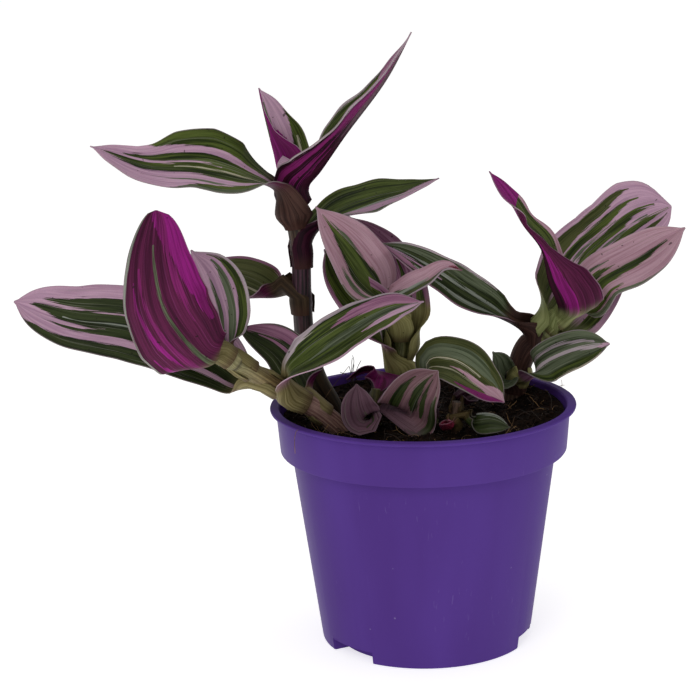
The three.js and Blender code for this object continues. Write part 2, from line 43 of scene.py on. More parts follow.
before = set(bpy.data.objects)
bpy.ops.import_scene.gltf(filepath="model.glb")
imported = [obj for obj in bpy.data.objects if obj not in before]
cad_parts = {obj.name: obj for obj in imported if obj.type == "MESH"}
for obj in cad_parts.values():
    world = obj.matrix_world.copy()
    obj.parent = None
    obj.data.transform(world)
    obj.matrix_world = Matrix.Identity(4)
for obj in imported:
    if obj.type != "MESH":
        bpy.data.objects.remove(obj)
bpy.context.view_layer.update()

MM = 0.001
# a little over a full turn in radians, for random turns
TURN = 6.3

# ---- Sizes of the pot, in millimetres and degrees -------------------------------------------
LIP_THICKNESS = 1.3
BAND_TOP_RADIUS = 57.6
BAND_BOTTOM_RADIUS = 56.3
BAND_HEIGHT = 18.0
BODY_TOP_RADIUS = 52.2
BODY_BOTTOM_RADIUS = 41.6
WALL = 1.3
FLOOR = 1.6
CORNER = 0.8
STEP_DROP = 1.6
EDGE_ROUND = 0.25
# how wide a drain notch is, and where each one stands
NOTCH_WIDTH = 31.0
NOTCHES = [-135.5 + 120 * number for number in range(3)]
NOTCH_HEIGHT = 5.0
NOTCH_INNER_RADIUS = 35.0
# the blocks that cut the notches reach past the pot's wall and underside
NOTCH_REACH = 70.0
NOTCH_DEPTH = 1.0
NOTCH_POINTS = 12
DRAIN_RADIUS = 2.2
POT_SIDES = 144
# air between two pieces
GAP = 0.3

# ---- Stems: route in millimetres, radius at both ends, nodes as shares of the length ---------
# tones: place along the stem, dark stripe colour, light stripe colour
STEMS = {
    "stem_tall": {
        "route": [(-30, 17, 52), (-35, 17, 86), (-42, 17, 101), (-46, 15, 116), (-47, 14, 134),
            (-47, 14, 152), (-49, 14, 171), (-47, 14, 181)],
        "radius": (4.3, 3.6), "nodes": (0.49, 0.64, 0.79, 0.92), "slot": "stem_brown",
        "tones": [(0, "#1d150f", "#3a2c22"), (0.42, "#241d12", "#463926"),
            (0.6, "#140b0c", "#412730"), (0.75, "#180b11", "#4b2939"), (0.84, "#2a1b14", "#54402f"),
            (1, "#33331a", "#555530")],
    },
    "stem_left": {
        "route": [(-22, -6, 56), (-29, -13, 84), (-40, -18, 97), (-52, -22, 105), (-63, -27, 114),
            (-73, -31, 122), (-80, -34, 128)],
        "radius": (4.2, 3.6), "nodes": (0.6, 0.86), "slot": "stem_brown",
        "tones": [(0, "#54402f", "#8a6d5c"), (0.5, "#6b4a44", "#a38478"), (0.6, "#3c211c", "#6e4632"),
            (0.72, "#5b4a30", "#87744e"), (0.86, "#6f6a44", "#98916a"), (1, "#77754c", "#9c9b70")],
    },
    "stem_middle": {
        "route": [(-6, 20, 54), (-7, 20, 89), (-8, 18, 101), (-8, 18, 114), (-8, 19, 128)],
        "radius": (3.6, 3.1), "nodes": (0.75,), "slot": "stem_green",
        "tones": [(0, "#4a3c28", "#6e5c42"), (0.5, "#4e4c2c", "#75724a"), (1, "#4c5228", "#7c8250")],
    },
    "stem_right": {
        "route": [(33, 27, 54), (36, 28, 84), (38, 28, 96), (42, 27, 109), (50, 26, 117),
            (57, 25, 124)],
        "radius": (4.2, 3.6), "nodes": (0.55, 0.85), "slot": "stem_green",
        "tones": [(0, "#3a2a22", "#5c463a"), (0.5, "#4a352c", "#6e5848"), (0.7, "#5c5a3a", "#88855e"),
            (1, "#5a6a2c", "#93a262")],
    },
    "stem_low": {
        "route": [(6, -4, 58), (4, -6, 84), (2, -7, 95), (1, -8, 104)],
        "radius": (3, 2.6), "nodes": (0.8,), "slot": "stem_green",
        "tones": [(0, "#4c4630", "#74704c"), (1, "#565a34", "#828656")],
    },
    "stem_young_left": {
        "route": [(-14, -10, 68), (-17, -12, 86), (-19, -14, 95), (-18, -13, 104)],
        "radius": (2.2, 1.8), "nodes": (0.75,), "slot": "stem_brown",
        "tones": [(0, "#3c2e20", "#5e4c38"), (1, "#3c3a20", "#5f5c3a")],
    },
    "stem_young_right": {
        "route": [(13, -20, 66), (12, -22, 86), (12, -23, 93), (13, -23, 101)],
        "radius": (2.2, 1.8), "nodes": (0.75,), "slot": "stem_brown",
        "tones": [(0, "#3c2e20", "#5e4c38"), (1, "#3a2c24", "#5a4638")],
    },
}
# each node swells the stem for a few millimetres, with a finer dark line sunk in at its middle
NODE_SWELL = 0.45
NODE_SPREAD = 2.6
LINE_DEPTH = 0.18
LINE_SPREAD = 0.7
# waves in the skin: how many run round the stem, how far they turn along it in radians, and
# their depth as a share of its radius
SKIN_WAVES = ((7, 0, 0.012), (3, 4, 0.02))
STEM_COLUMNS = 36
STEM_ROW = 0.7

# ---- Leaf tissue colours: a dark and a light tone of each ------------------------------------
TONES = {
    "green": ("#1a2506", "#536029"),
    "olive": ("#2c3310", "#525630"),
    "grey_green": ("#333c26", "#646d55"),
    "dark_green": ("#171f09", "#374121"),
    "pink": ("#aa859e", "#c9a4ba"),
    "dusty_pink": ("#a07886", "#bd98a5"),
    "mauve": ("#7c4c6a", "#a67891"),
    # muted is partly painted shade: on leaf_young_muted and on leaf_low_front's collar it stands for
    # pink tissue in shade
    "muted": ("#47303a", "#6b4e5b"),
    "shaded_pink": ("#66494f", "#846269"),
    "plum": ("#3a0e28", "#5e1e44"),
    "dark_plum": ("#1a0611", "#371024"),
    "magenta": ("#5c1448", "#812566"),
    "bright_magenta": ("#64104f", "#92207c"),
    "red": ("#4a1226", "#7a2438"),
    "cream": ("#8f8c72", "#b3ae96"),
    "silver": ("#5f655a", "#91968b"),
    "pale": ("#8e8087", "#b9abb0"),
    "bark": ("#241a12", "#473828"),
    "bark_olive": ("#2c2214", "#54472c"),
    "stem_olive": ("#5a5132", "#8a8058"),
    # stem_green is painted light: lighter than the sheath tissue, so that the middle stem's sheaths,
    # which lie in shade, come out bright
    "stem_green": ("#726d42", "#a39f68"),
    "stem_pale": ("#5d6438", "#8f9563"),
    "stem_plum": ("#2c1c19", "#523a33"),
}
LINE_COLOUR = {"upper": "#8f9080", "under": "#8a3f78"}
RIM_COLOUR = {"upper": "#a2929a", "under": "#a98a9c"}
FOOT_COLOUR = "#432a24"
BLEMISH_COLOUR = "#1d1410"
NODE_COLOUR = "#1c120e"
DUST_COLOUR = "#8d7fa6"
SCUFF_COLOUR = "#7a66a0"
GRAIN_COLOUR = "#3a2618"
WHITE = (1.0, 1.0, 1.0, 1.0)
# roughness and specular level of a leaf's faces
LEAF_GLOSS = {"upper": (0.46, 0.14), "under": (0.52, 0.1)}

# ---- Leaves, in millimetres and degrees ------------------------------------------------------
# stem, at, sheath: the stem, the share of its length where the sheath starts, and its length
# midrib: points from the neck to the tip; width: the blade's greatest width
# nest: how many sheaths lie between this one and the stem
# shape: how slowly the outline rises from the neck and falls to the tip
# point: how much of the blade tapers to a sharp tip, as a share of it; 0 leaves the tip blunt
# neck: the blade's width where it leaves the sheath, as a share of its outline there
# cup: the arc across the blade at its foot and at its tip
# fold: the angle by which the halves close at the midrib; open: how far they reopen at the tip
# sides: width of the left and right half; edge: (share of the blade, left, right), on top of that
# faces: where the upper face looks to, along the blade and then at its tip
# collar: the sheath's tissue, and the share of the blade that it runs up to
# upper, under: the face's ground tissue, then (tissue, [knots]) for each stripe. A knot is
# (share of the blade, place across it from -1 at the left to 1 at the right, half the width).
# What a leaf's own entry leaves out is as here.
USUAL_LEAF = {
    "sheath": 2, "nest": 0, "shape": (0.62, 0.75), "point": 0.05, "neck": 0.62, "cup": (50, 30),
    "fold": 20, "open": 0, "sides": (1, 1), "edge": [(0, 1, 1)], "slot": "leaf_green",
    "collar": ("bark_olive", 0.05),
}
LEAVES = {
    "leaf_tall_low": {
        "stem": "stem_tall", "at": 0.6, "sheath": 7, "width": 29, "collar": ("bark", 0.1),
        "midrib": [(-60, 20, 134), (-74, 24, 139), (-88, 26, 141), (-96, 26, 140)],
        "faces": [(0, -0.42, 0.9), (0, -0.3, 0.95)],
        "upper": ["olive", ("cream", [(0, 0, 0.05), (0.6, 0, 0.025), (0.95, 0, 0)]),
            ("mauve", [(0, 1, 0.05), (1, 1, 0.12)]), ("mauve", [(0, -1, 0.08), (1, -1, 0.1)])],
        "under": ["plum", ("magenta", [(0, 0.6, 0.1), (1, 0.6, 0.1)])],
    },
    "leaf_tall_right": {
        "stem": "stem_tall", "at": 0.74, "sheath": 9, "width": 28, "sides": (0.82, 0.95),
        "collar": ("dark_plum", 0.05),
        "midrib": [(-37, 19, 164), (-20, 26, 170), (-4, 29, 174), (8, 30, 179)],
        "faces": [(0, -0.4, 0.92), (0, -0.2, 1)],
        "upper": ["green",
            ("pink", [(0.05, 0.5, 0.18), (0.4, 0.52, 0.33), (0.7, 0.54, 0.46), (1, 0.5, 0.8)]),
            ("silver", [(0.3, 0.18, 0.02), (0.6, 0.2, 0.06), (0.95, 0.2, 0)]),
            ("grey_green", [(0.22, 0.95, 0), (0.35, 0.92, 0.13), (0.55, 0.9, 0.1), (0.62, 0.9, 0)])],
        "under": ["dark_plum", ("magenta", [(0.2, 0.8, 0.1), (0.6, 0.8, 0.25), (1, 0.7, 0.4)])],
    },
    "leaf_tall_left": {
        "stem": "stem_tall", "at": 0.86, "sheath": 6, "width": 30, "nest": 2, "shape": (0.4, 0.6),
        "neck": 0.7, "cup": (40, 30), "sides": (0.95, 1.1), "collar": ("stem_plum", 0.1),
        "midrib": [(-56, 11, 178), (-69, 6, 184), (-85, 1, 189), (-104, -3, 191), (-125, -5, 199)],
        "edge": [(0.2, 1, 0.9), (0.45, 0.95, 1.05), (0.6, 1.05, 0.95), (0.8, 1.05, 0.6),
            (1, 0.9, 0.6)],
        "faces": [(0, -0.75, 0.7), (0, -0.7, 0.7)],
        "upper": ["green",
            ("pink", [(0, 0.42, 0.04), (0.3, 0.42, 0.07), (0.55, 0.5, 0.1), (0.68, 0.62, 0.12),
                (0.8, 0.85, 0.3), (1, 0.8, 0.8)]),
            ("pink", [(0.4, 0.12, 0), (0.55, 0.15, 0.01), (0.75, 0.2, 0.03), (0.92, 0.3, 0.08)]),
            ("pink", [(0.02, -0.42, 0.03), (0.3, -0.46, 0.1), (0.45, -0.48, 0.18), (0.6, -0.58, 0.34),
                (0.75, -0.7, 0.48), (0.9, -0.8, 0.65), (1, -0.6, 0.6)]),
            ("grey_green", [(0.3, -0.56, 0), (0.45, -0.56, 0.035), (0.68, -0.52, 0.02),
                (0.74, -0.52, 0)]),
            ("grey_green", [(0.15, -0.92, 0.12), (0.4, -0.95, 0.12), (0.55, -0.97, 0.06),
                (0.62, -1, 0)]),
            ("cream", [(0, 0.02, 0.03), (0.45, 0.02, 0.012), (0.6, 0.02, 0)])],
        "under": ["plum", ("magenta", [(0.2, 0.5, 0.1), (1, 0.5, 0.2)])],
    },
    "leaf_tall_upright": {
        "stem": "stem_tall", "at": 0.925, "sheath": 4, "width": 31, "nest": 1, "shape": (0.15, 1),
        "neck": 1, "cup": (40, 30), "fold": 60, "slot": "leaf_plum", "collar": ("dark_plum", 0),
        "midrib": [(-44, 12, 178), (-38, 9, 186), (-28, 6, 200), (-12, 3, 221), (-2, 0, 239)],
        "faces": [(-0.8, -0.1, 0.55), (-0.7, -0.1, 0.6)],
        "upper": ["green", ("pale", [(0, -1, 0.05), (1, -1, 0.1)]),
            ("mauve", [(0.5, 0.9, 0), (0.65, 0.5, 0.6), (0.8, 0, 1.2), (1, 0, 1.3)])],
        "under": ["dark_plum",
            ("magenta", [(0, 0.8, 0.04), (0.15, 0.78, 0.06), (0.35, 0.74, 0.08), (0.5, 0.7, 0.18),
                (0.7, 0.6, 0.28), (1, 0.4, 0.5)]),
            ("magenta", [(0, 0.5, 0.03), (0.2, 0.46, 0.05), (0.4, 0.45, 0.02), (0.5, 0.45, 0)]),
            ("magenta", [(0, 0.3, 0.03), (0.15, 0.28, 0.03), (0.3, 0.3, 0)]),
            ("muted", [(0.4, 0.25, 0), (0.55, 0.3, 0.12), (0.9, 0.2, 0.3)]),
            ("pale", [(0.1, 1, 0.04), (0.45, 1, 0.05), (0.6, 1, 0.12), (0.8, 1, 0.2),
                (1, 0.9, 0.4)])],
    },
    "leaf_tall_small": {
        "stem": "stem_tall", "at": 0.965, "sheath": 3, "width": 29, "shape": (0.4, 0.65), "neck": 1,
        "cup": (30, 30), "fold": 110, "slot": "leaf_plum", "collar": ("bright_magenta", 0),
        "midrib": [(-54, 21, 180), (-57, 23, 192), (-60, 23, 206), (-62, 22, 217)],
        "edge": [(0.35, 1, 1), (0.6, 0.3, 1), (0.8, 0.05, 0.9), (1, 0.05, 0.8)],
        "faces": [(0.9, -0.1, 0.3), (0.8, -0.2, 0.4)],
        "upper": ["pink",
            ("bright_magenta", [(0.1, 0.1, 0.5), (0.35, 0.15, 0.5), (0.5, 0.1, 0.35), (0.62, 0, 0.2),
                (0.72, 0, 0)]),
            ("green", [(0, 0.85, 0.3), (0.35, 0.85, 0.28), (0.6, 0.9, 0.15), (0.75, 0.95, 0)]),
            ("cream", [(0.2, 0.72, 0), (0.35, 0.74, 0.03), (0.5, 0.8, 0)]),
            ("grey_green", [(0.55, 0.1, 0), (0.68, 0.1, 0.06), (0.85, 0.1, 0)])],
        "under": ["bright_magenta", ("magenta", [(0.1, -0.7, 0.2), (0.6, -0.7, 0.2)]),
            ("grey_green", [(0.55, -0.02, 0.05), (0.7, -0.02, 0.2), (0.85, 0, 0.1)])],
    },
    "leaf_left_low": {
        "stem": "stem_left", "at": 0.44, "sheath": 4, "width": 22, "collar": ("stem_olive", 0.06),
        "midrib": [(-46, -4, 103), (-55, 0, 116), (-72, 2, 126)], "faces": [(0.2, -0.7, 0.6)],
        "upper": ["dark_green", ("mauve", [(0.3, 0.7, 0), (0.5, 0.7, 0.2), (0.9, 0.6, 0.3)]),
            ("mauve", [(0.4, 0.2, 0), (0.6, 0.2, 0.06), (0.8, 0.2, 0)])],
        "under": ["plum"],
    },
    "leaf_left_arching": {
        "stem": "stem_left", "at": 0.53, "sheath": 6, "width": 23, "shape": (0.5, 0.6),
        "collar": ("stem_olive", 0.1),
        "midrib": [(-50, -31, 114), (-42, -32, 120), (-28, -24, 128), (-12, -14, 135), (1, -8, 137)],
        "faces": [(-0.2, -0.6, 0.75), (-0.1, -0.7, 0.7)],
        "upper": ["green",
            ("pale", [(0, -0.85, 0.05), (0.15, -0.85, 0.12), (0.4, -0.95, 0.07), (1, -0.95, 0.05)]),
            ("mauve", [(0.5, -0.55, 0), (0.65, -0.6, 0.15), (0.85, -0.6, 0.3), (1, -0.5, 0.5)]),
            ("pink", [(0.6, 0.35, 0), (0.8, 0.35, 0.14), (1, 0.2, 0.4)]),
            ("pink", [(0, 1, 0.08), (0.5, 1, 0.08), (0.7, 1, 0.05), (1, 0.9, 0.1)]),
            ("grey_green", [(0.3, 0, 0), (0.5, 0, 0.16), (0.8, 0, 0.12), (0.95, 0, 0)])],
        "under": ["mauve", ("magenta", [(0.3, 0.5, 0.1), (1, 0.5, 0.1)])],
    },
    "leaf_left_far": {
        "stem": "stem_left", "at": 0.66, "sheath": 6, "width": 34, "shape": (0.5, 0.45),
        "point": 0.03, "cup": (30, 20), "fold": 15, "sides": (0.82, 1),
        "collar": ("stem_olive", 0.05),
        "midrib": [(-70, -17, 109), (-85, -15, 119), (-112, -14, 129), (-135, -14, 133),
            (-156, -14, 141)],
        "faces": [(0.1, -0.85, 0.5), (0.1, -0.8, 0.5)],
        "upper": ["dark_green",
            ("pink", [(0.1, 0.85, 0.12), (0.5, 0.85, 0.19), (0.75, 0.86, 0.17), (0.9, 0.82, 0.28),
                (1, 0.6, 0.9)]),
            ("pink", [(0.1, -0.45, 0.08), (0.5, -0.45, 0.1), (0.75, -0.46, 0.12), (0.9, -0.48, 0.2),
                (1, -0.4, 0.8)]),
            ("pink", [(0.5, 0.3, 0), (0.7, 0.33, 0.012), (0.85, 0.36, 0.03), (0.95, 0.4, 0.1)]),
            ("pink", [(0.66, -0.12, 0), (0.82, -0.14, 0.07), (1, -0.1, 0.3)]),
            ("silver", [(0.2, 0.05, 0.015), (0.6, 0.06, 0.02), (0.8, 0.06, 0)])],
        "under": ["magenta", ("plum", [(0, 0, 0.3), (1, 0, 0.3)])],
    },
    "leaf_left_back": {
        "stem": "stem_left", "at": 0.79, "sheath": 5, "width": 28, "cup": (40, 30),
        "collar": ("stem_olive", 0.08),
        "midrib": [(-74, -22, 124), (-76, -19, 137), (-80, -16, 149), (-87, -15, 160)],
        "edge": [(0.3, 1, 0.7), (0.6, 1, 0.95), (0.85, 1, 1.15), (1, 1, 1)],
        "faces": [(0.3, -0.9, 0.3)],
        "upper": ["pink",
            ("grey_green", [(0, -0.4, 0.4), (0.3, -0.4, 0.25), (0.6, -0.5, 0.16),
                (0.85, -0.6, 0.05)]),
            ("grey_green", [(0, -0.08, 0.12), (0.3, -0.02, 0.06), (0.65, -0.02, 0.03),
                (0.75, -0.02, 0)]),
            ("grey_green", [(0, 0.42, 0.12), (0.4, 0.36, 0.1), (0.7, 0.42, 0.1), (0.85, 0.5, 0)]),
            ("green", [(0, 0.75, 0.18), (0.4, 0.75, 0.14), (0.75, 0.78, 0.1), (0.9, 0.8, 0)]),
            ("pale", [(0, 1, 0.05), (1, 1, 0.06)])],
        "under": ["plum", ("magenta", [(0, 0.3, 0.1), (1, 0.3, 0.1)])],
    },
    "leaf_left_front": {
        "stem": "stem_left", "at": 0.89, "sheath": 5, "width": 41, "shape": (0.05, 0.4), "point": 0,
        "neck": 1, "cup": (35, 50), "fold": 5, "slot": "leaf_plum", "collar": ("stem_olive", 0.03),
        "midrib": [(-78, -41, 122), (-86, -46, 131), (-94, -49, 145), (-97, -48, 162),
            (-96, -43, 180)],
        "edge": [(0.1, 0.5, 0.95), (0.3, 0.85, 1.1), (0.5, 1.05, 1), (0.7, 1.1, 0.85), (1, 1.1, 0.7)],
        "faces": [(0.05, 0.95, 0.2)],
        "upper": ["grey_green", ("pink", [(0, 0.4, 0.1), (1, 0.4, 0.2)])],
        "under": ["plum",
            ("bright_magenta", [(0.3, -0.82, 0.05), (0.5, -0.8, 0.13), (0.75, -0.75, 0.25),
                (0.9, -0.6, 0.5), (1, -0.4, 0.8)]),
            ("magenta", [(0.35, -0.45, 0), (0.6, -0.45, 0.06), (0.85, -0.35, 0.05), (1, -0.2, 0.2)]),
            ("bright_magenta", [(0.12, 0.42, 0), (0.3, 0.5, 0.035), (0.5, 0.62, 0.03),
                (0.62, 0.66, 0)]),
            ("magenta", [(0.05, 0.25, 0.03), (0.3, 0.3, 0.05), (0.55, 0.42, 0.03), (0.7, 0.5, 0)]),
            ("bright_magenta", [(0.02, 0.62, 0.02), (0.12, 0.72, 0.05), (0.25, 0.8, 0)]),
            ("grey_green", [(0, 0, 0.06), (0.4, 0, 0.025), (0.7, 0, 0.012), (0.8, 0, 0)]),
            ("silver", [(0, 1, 0.015), (0.4, 1, 0.02), (0.7, 1, 0.1), (0.9, 1, 0.12), (1, 1, 0.1)])],
    },
    "leaf_middle_left": {
        "stem": "stem_middle", "at": 0.62, "sheath": 5, "width": 22, "nest": 2,
        "collar": ("stem_green", 0.12),
        "midrib": [(-19, 14, 127), (-27, 14, 136), (-34, 17, 145), (-38, 20, 153)],
        "faces": [(0.2, -0.85, 0.5)],
        "upper": ["green", ("pale", [(0, 0.05, 0.03), (0.8, 0.05, 0.03)]),
            ("pale", [(0, 0.35, 0.03), (0.8, 0.35, 0.04)]), ("mauve", [(0, -1, 0.1), (1, -1, 0.2)]),
            ("mauve", [(0.35, 0.95, 0), (0.6, 0.9, 0.2), (1, 0.9, 0.3)])],
        "under": ["mauve"],
    },
    "leaf_middle_back": {
        "stem": "stem_middle", "at": 0.72, "sheath": 7, "width": 25, "nest": 2, "shape": (0.1, 0.9),
        "neck": 1, "slot": "leaf_pink", "collar": ("stem_green", 0.2),
        "midrib": [(-7, 29, 136), (-12, 36, 149), (-20, 39, 157), (-29, 39, 163)],
        "faces": [(0.2, -0.95, 0.2)],
        "upper": ["mauve", ("green", [(0, 0, 0.3), (0.3, 0.05, 0.22), (0.55, 0.1, 0)]),
            ("green", [(0, 0.6, 0.2), (0.3, 0.65, 0.15), (0.5, 0.7, 0)]),
            ("green", [(0, -0.6, 0.1), (0.35, -0.6, 0)])],
        "under": ["plum"],
    },
    "leaf_middle_front": {
        "stem": "stem_middle", "at": 0.835, "sheath": 5, "width": 26, "nest": 1, "neck": 0.8,
        "cup": (40, 30), "fold": 15, "slot": "leaf_pink", "collar": ("stem_green", 0.12),
        "midrib": [(-18, 18, 137), (-23, 14, 146), (-29, 10, 156), (-35, 5, 165), (-40, 2, 173)],
        "faces": [(0.3, -0.9, 0.35)],
        "upper": ["dusty_pink",
            ("green", [(0, -0.1, 0.4), (0.2, -0.12, 0.4), (0.45, -0.14, 0.36), (0.68, -0.1, 0.22),
                (0.82, -0.02, 0.1), (0.93, 0.05, 0)]),
            ("grey_green", [(0.5, 0.24, 0), (0.7, 0.22, 0.04), (0.86, 0.2, 0)]),
            ("dark_green", [(0.15, -0.45, 0.03), (0.45, -0.45, 0.045), (0.66, -0.38, 0)]),
            ("grey_green", [(0.2, -0.68, 0.02), (0.42, -0.68, 0.06), (0.62, -0.6, 0)]),
            ("grey_green", [(0, 0.4, 0.05), (0.12, 0.4, 0.03), (0.25, 0.4, 0)]),
            ("dark_green", [(0, 0.6, 0.04), (0.12, 0.62, 0.03), (0.22, 0.62, 0)]),
            ("green", [(0, -1, 0.12), (0.3, -1, 0.1), (0.5, -1, 0)])],
        "under": ["plum", ("magenta", [(0, 0.3, 0.1), (1, 0.3, 0.1)])],
    },
    "leaf_middle_right": {
        "stem": "stem_middle", "at": 0.92, "sheath": 4, "width": 15, "neck": 1, "cup": (50, 50),
        "fold": 30, "slot": "leaf_pink", "collar": ("stem_green", 0.1),
        "midrib": [(-15, 6, 132), (-8, 2, 137), (2, 0, 143), (10, -2, 149), (16, -3, 148)],
        "faces": [(-0.1, -0.5, 0.85), (-0.2, -0.5, 0.85)],
        "upper": ["grey_green",
            ("green", [(0, 0.35, 0.4), (0.4, 0.35, 0.3), (0.8, 0.4, 0.1), (0.9, 0.4, 0)]),
            ("dusty_pink", [(0, -0.9, 0.2), (0.4, -0.85, 0.4), (0.7, -0.6, 0.6), (0.9, -0.3, 0.9),
                (1, 0, 1.2)]),
            ("silver", [(0.2, -0.2, 0), (0.4, -0.15, 0.08), (0.7, -0.1, 0)]),
            ("pale", [(0, 1, 0.1), (1, 1, 0.15)]),
            ("red", [(0.9, 0, 0), (0.96, 0, 0.8), (1, 0, 1.2)])],
        "under": ["mauve", ("red", [(0.85, 0, 0), (0.95, 0, 0.8), (1, 0, 1.2)])],
    },
    "leaf_right_dark": {
        "stem": "stem_right", "at": 0.485, "width": 14, "collar": ("stem_plum", 0.1),
        "midrib": [(31, 17, 103), (30, 14, 108), (28, 12, 112)], "faces": [(0.5, -0.8, 0.2)],
        "upper": ["grey_green"],
        "under": ["dark_green"],
    },
    "leaf_right_low": {
        "stem": "stem_right", "at": 0.525, "width": 18, "shape": (0.7, 0.5), "cup": (40, 30),
        "fold": 15, "collar": ("stem_green", 0.1),
        "midrib": [(42, 17, 99), (51, 14, 107), (62, 12, 112), (74, 10, 115)],
        "faces": [(0.3, -0.7, 0.6), (0.2, -0.7, 0.6)],
        "upper": ["grey_green", ("pale", [(0.1, -0.1, 0.02), (0.6, -0.1, 0.05), (0.9, 0, 0.1)]),
            ("pale", [(0.3, -0.55, 0), (0.6, -0.55, 0.06), (0.85, -0.4, 0)]),
            ("green", [(0, 0.7, 0.2), (0.5, 0.75, 0.2), (0.9, 0.7, 0.15)]),
            ("cream", [(0.4, 1, 0.04), (0.9, 1, 0.1)]), ("pink", [(0.9, 0.1, 0), (1, 0.1, 0.6)])],
        "under": ["mauve"],
    },
    "leaf_right_long": {
        "stem": "stem_right", "at": 0.57, "sheath": 16, "width": 21, "cup": (60, 40), "fold": 30,
        "sides": (0.8, 1), "collar": ("stem_plum", 0.12),
        "midrib": [(30, 21, 125), (18, 22, 132), (4, 24, 142), (-7, 26, 149), (-17, 28, 154)],
        "faces": [(-0.2, -0.6, 0.75), (-0.1, -0.7, 0.7)],
        "upper": ["dark_green",
            ("silver", [(0.1, 0.25, 0.02), (0.35, 0.25, 0.05), (0.6, 0.25, 0.03), (0.9, 0.2, 0)]),
            ("silver", [(0.15, -0.35, 0.03), (0.35, -0.35, 0.16), (0.55, -0.35, 0.06),
                (0.75, -0.35, 0)]),
            ("grey_green", [(0.1, 0.7, 0.1), (0.5, 0.7, 0.2), (1, 0.7, 0.2)]),
            ("pink", [(0.6, 0, 0), (0.75, 0, 0.05), (1, 0, 0.1)]),
            ("mauve", [(0.68, -0.55, 0), (0.8, -0.55, 0.2), (1, -0.55, 0.4)]),
            ("mauve", [(0, -1, 0.1), (0.5, -1, 0.08), (1, -1, 0.1)]),
            ("pale", [(0.3, 1, 0.04), (1, 1, 0.08)])],
        "under": ["muted", ("dark_plum", [(0, 0.5, 0.2), (1, 0.5, 0.2)]),
            ("dark_plum", [(0, -0.5, 0.2), (1, -0.5, 0.2)])],
    },
    "leaf_right_cupped": {
        "stem": "stem_right", "at": 0.82, "sheath": 3, "width": 38, "nest": 2, "shape": (0.2, 0.3),
        "point": 0.03, "neck": 1, "cup": (60, 40), "fold": 10, "sides": (1.02, 1.05),
        "slot": "leaf_pink", "collar": ("stem_pale", 0.08),
        "midrib": [(62, 38, 133), (71, 46, 143), (86, 52, 153), (103, 54, 162)],
        "edge": [(0.4, 1, 1), (0.55, 0.92, 1), (0.65, 0.98, 0.9), (0.8, 1.25, 0.7), (1, 1.3, 0.6)],
        "faces": [(-0.3, -0.9, 0.4), (-0.2, -0.9, 0.3)],
        "upper": ["pink",
            ("olive", [(0, -0.72, 0.26), (0.25, -0.72, 0.2), (0.5, -0.74, 0.12), (0.72, -0.78, 0.09),
                (0.84, -0.82, 0)]),
            ("green", [(0.1, -0.4, 0.1), (0.4, -0.44, 0.07), (0.66, -0.5, 0.09), (0.86, -0.56, 0)]),
            ("grey_green", [(0.35, -0.3, 0), (0.45, -0.3, 0.03), (0.7, -0.34, 0)]),
            ("green", [(0.1, -0.12, 0.1), (0.4, -0.14, 0.08), (0.7, -0.22, 0.09), (0.92, -0.3, 0)]),
            ("grey_green", [(0.5, 0, 0), (0.6, -0.02, 0.03), (0.85, -0.1, 0)]),
            ("green", [(0.3, 0.16, 0.1), (0.6, 0.12, 0.1), (0.84, 0.04, 0.09), (0.97, 0, 0)]),
            ("olive", [(0.4, 0.46, 0.12), (0.65, 0.44, 0.13), (0.86, 0.38, 0.09), (0.95, 0.36, 0)]),
            ("green", [(0, 0.72, 0.1), (0.4, 0.78, 0.12), (0.7, 0.85, 0.05), (0.8, 0.88, 0)])],
        "under": ["plum", ("magenta", [(0, 0.3, 0.1), (1, 0.3, 0.1)])],
    },
    "leaf_right_streaked": {
        "stem": "stem_right", "at": 0.88, "sheath": 3, "width": 24, "nest": 1, "shape": (0.7, 0.35),
        "point": 0.1, "neck": 0.9, "cup": (40, 30), "fold": 15, "sides": (0.85, 1.2),
        "slot": "leaf_pink", "collar": ("stem_pale", 0.08),
        "midrib": [(64, 24, 132), (72, 25, 139), (88, 27, 147), (105, 26, 158)],
        "faces": [(-0.2, -0.75, 0.65), (-0.2, -0.8, 0.6)],
        "upper": ["dusty_pink",
            ("green", [(0, 0.35, 0.2), (0.25, 0.28, 0.17), (0.55, 0.2, 0.12), (0.75, 0.1, 0.1),
                (0.86, 0.05, 0)]),
            ("green", [(0, -0.1, 0.25), (0.25, -0.14, 0.2), (0.42, -0.16, 0.12), (0.52, -0.14, 0)]),
            ("grey_green", [(0.3, -0.55, 0), (0.4, -0.5, 0.04), (0.5, -0.45, 0)]),
            ("green", [(0, 0.75, 0.1), (0.35, 0.7, 0.06), (0.5, 0.66, 0)]),
            ("grey_green", [(0, 0.95, 0.12), (0.35, 0.97, 0.12), (0.65, 1, 0.08), (0.8, 1, 0)])],
        "under": ["plum"],
    },
    "leaf_right_curled": {
        "stem": "stem_right", "at": 0.94, "sheath": 3, "width": 34, "shape": (0.12, 0.5), "neck": 1,
        "cup": (50, 60), "fold": 100, "open": 1, "slot": "leaf_plum", "collar": ("stem_pale", 0.06),
        "midrib": [(54, 12, 130), (50, 9, 141), (47, 6, 154), (40, 5, 164), (34, 4, 175),
            (27, 5, 185)],
        "edge": [(0.2, 1.1, 0.9), (0.35, 0.9, 0.8), (0.5, 0.25, 0.75), (0.66, 0.1, 0.7),
            (0.85, 0.75, 0.6), (1, 0.8, 0.6)],
        "faces": [(0.75, 0.35, 0.55), (0.7, -0.6, 0.35)],
        "upper": ["green",
            ("dusty_pink", [(0, -0.95, 0.15), (0.4, -0.95, 0.15), (0.6, -0.8, 0.4),
                (0.76, -0.7, 0.5)]),
            ("dusty_pink", [(0.3, 0.95, 0.1), (0.8, 0.95, 0.1)]),
            ("bright_magenta", [(0.76, 0, 0), (0.82, 0, 1.2), (1, 0, 1.3)])],
        "under": ["plum",
            ("bright_magenta", [(0.02, -0.35, 0.08), (0.2, -0.3, 0.12), (0.45, -0.2, 0.1),
                (0.6, -0.1, 0)]),
            ("dark_plum", [(0, 0.1, 0.25), (0.5, 0.1, 0.2), (0.7, 0, 0)]),
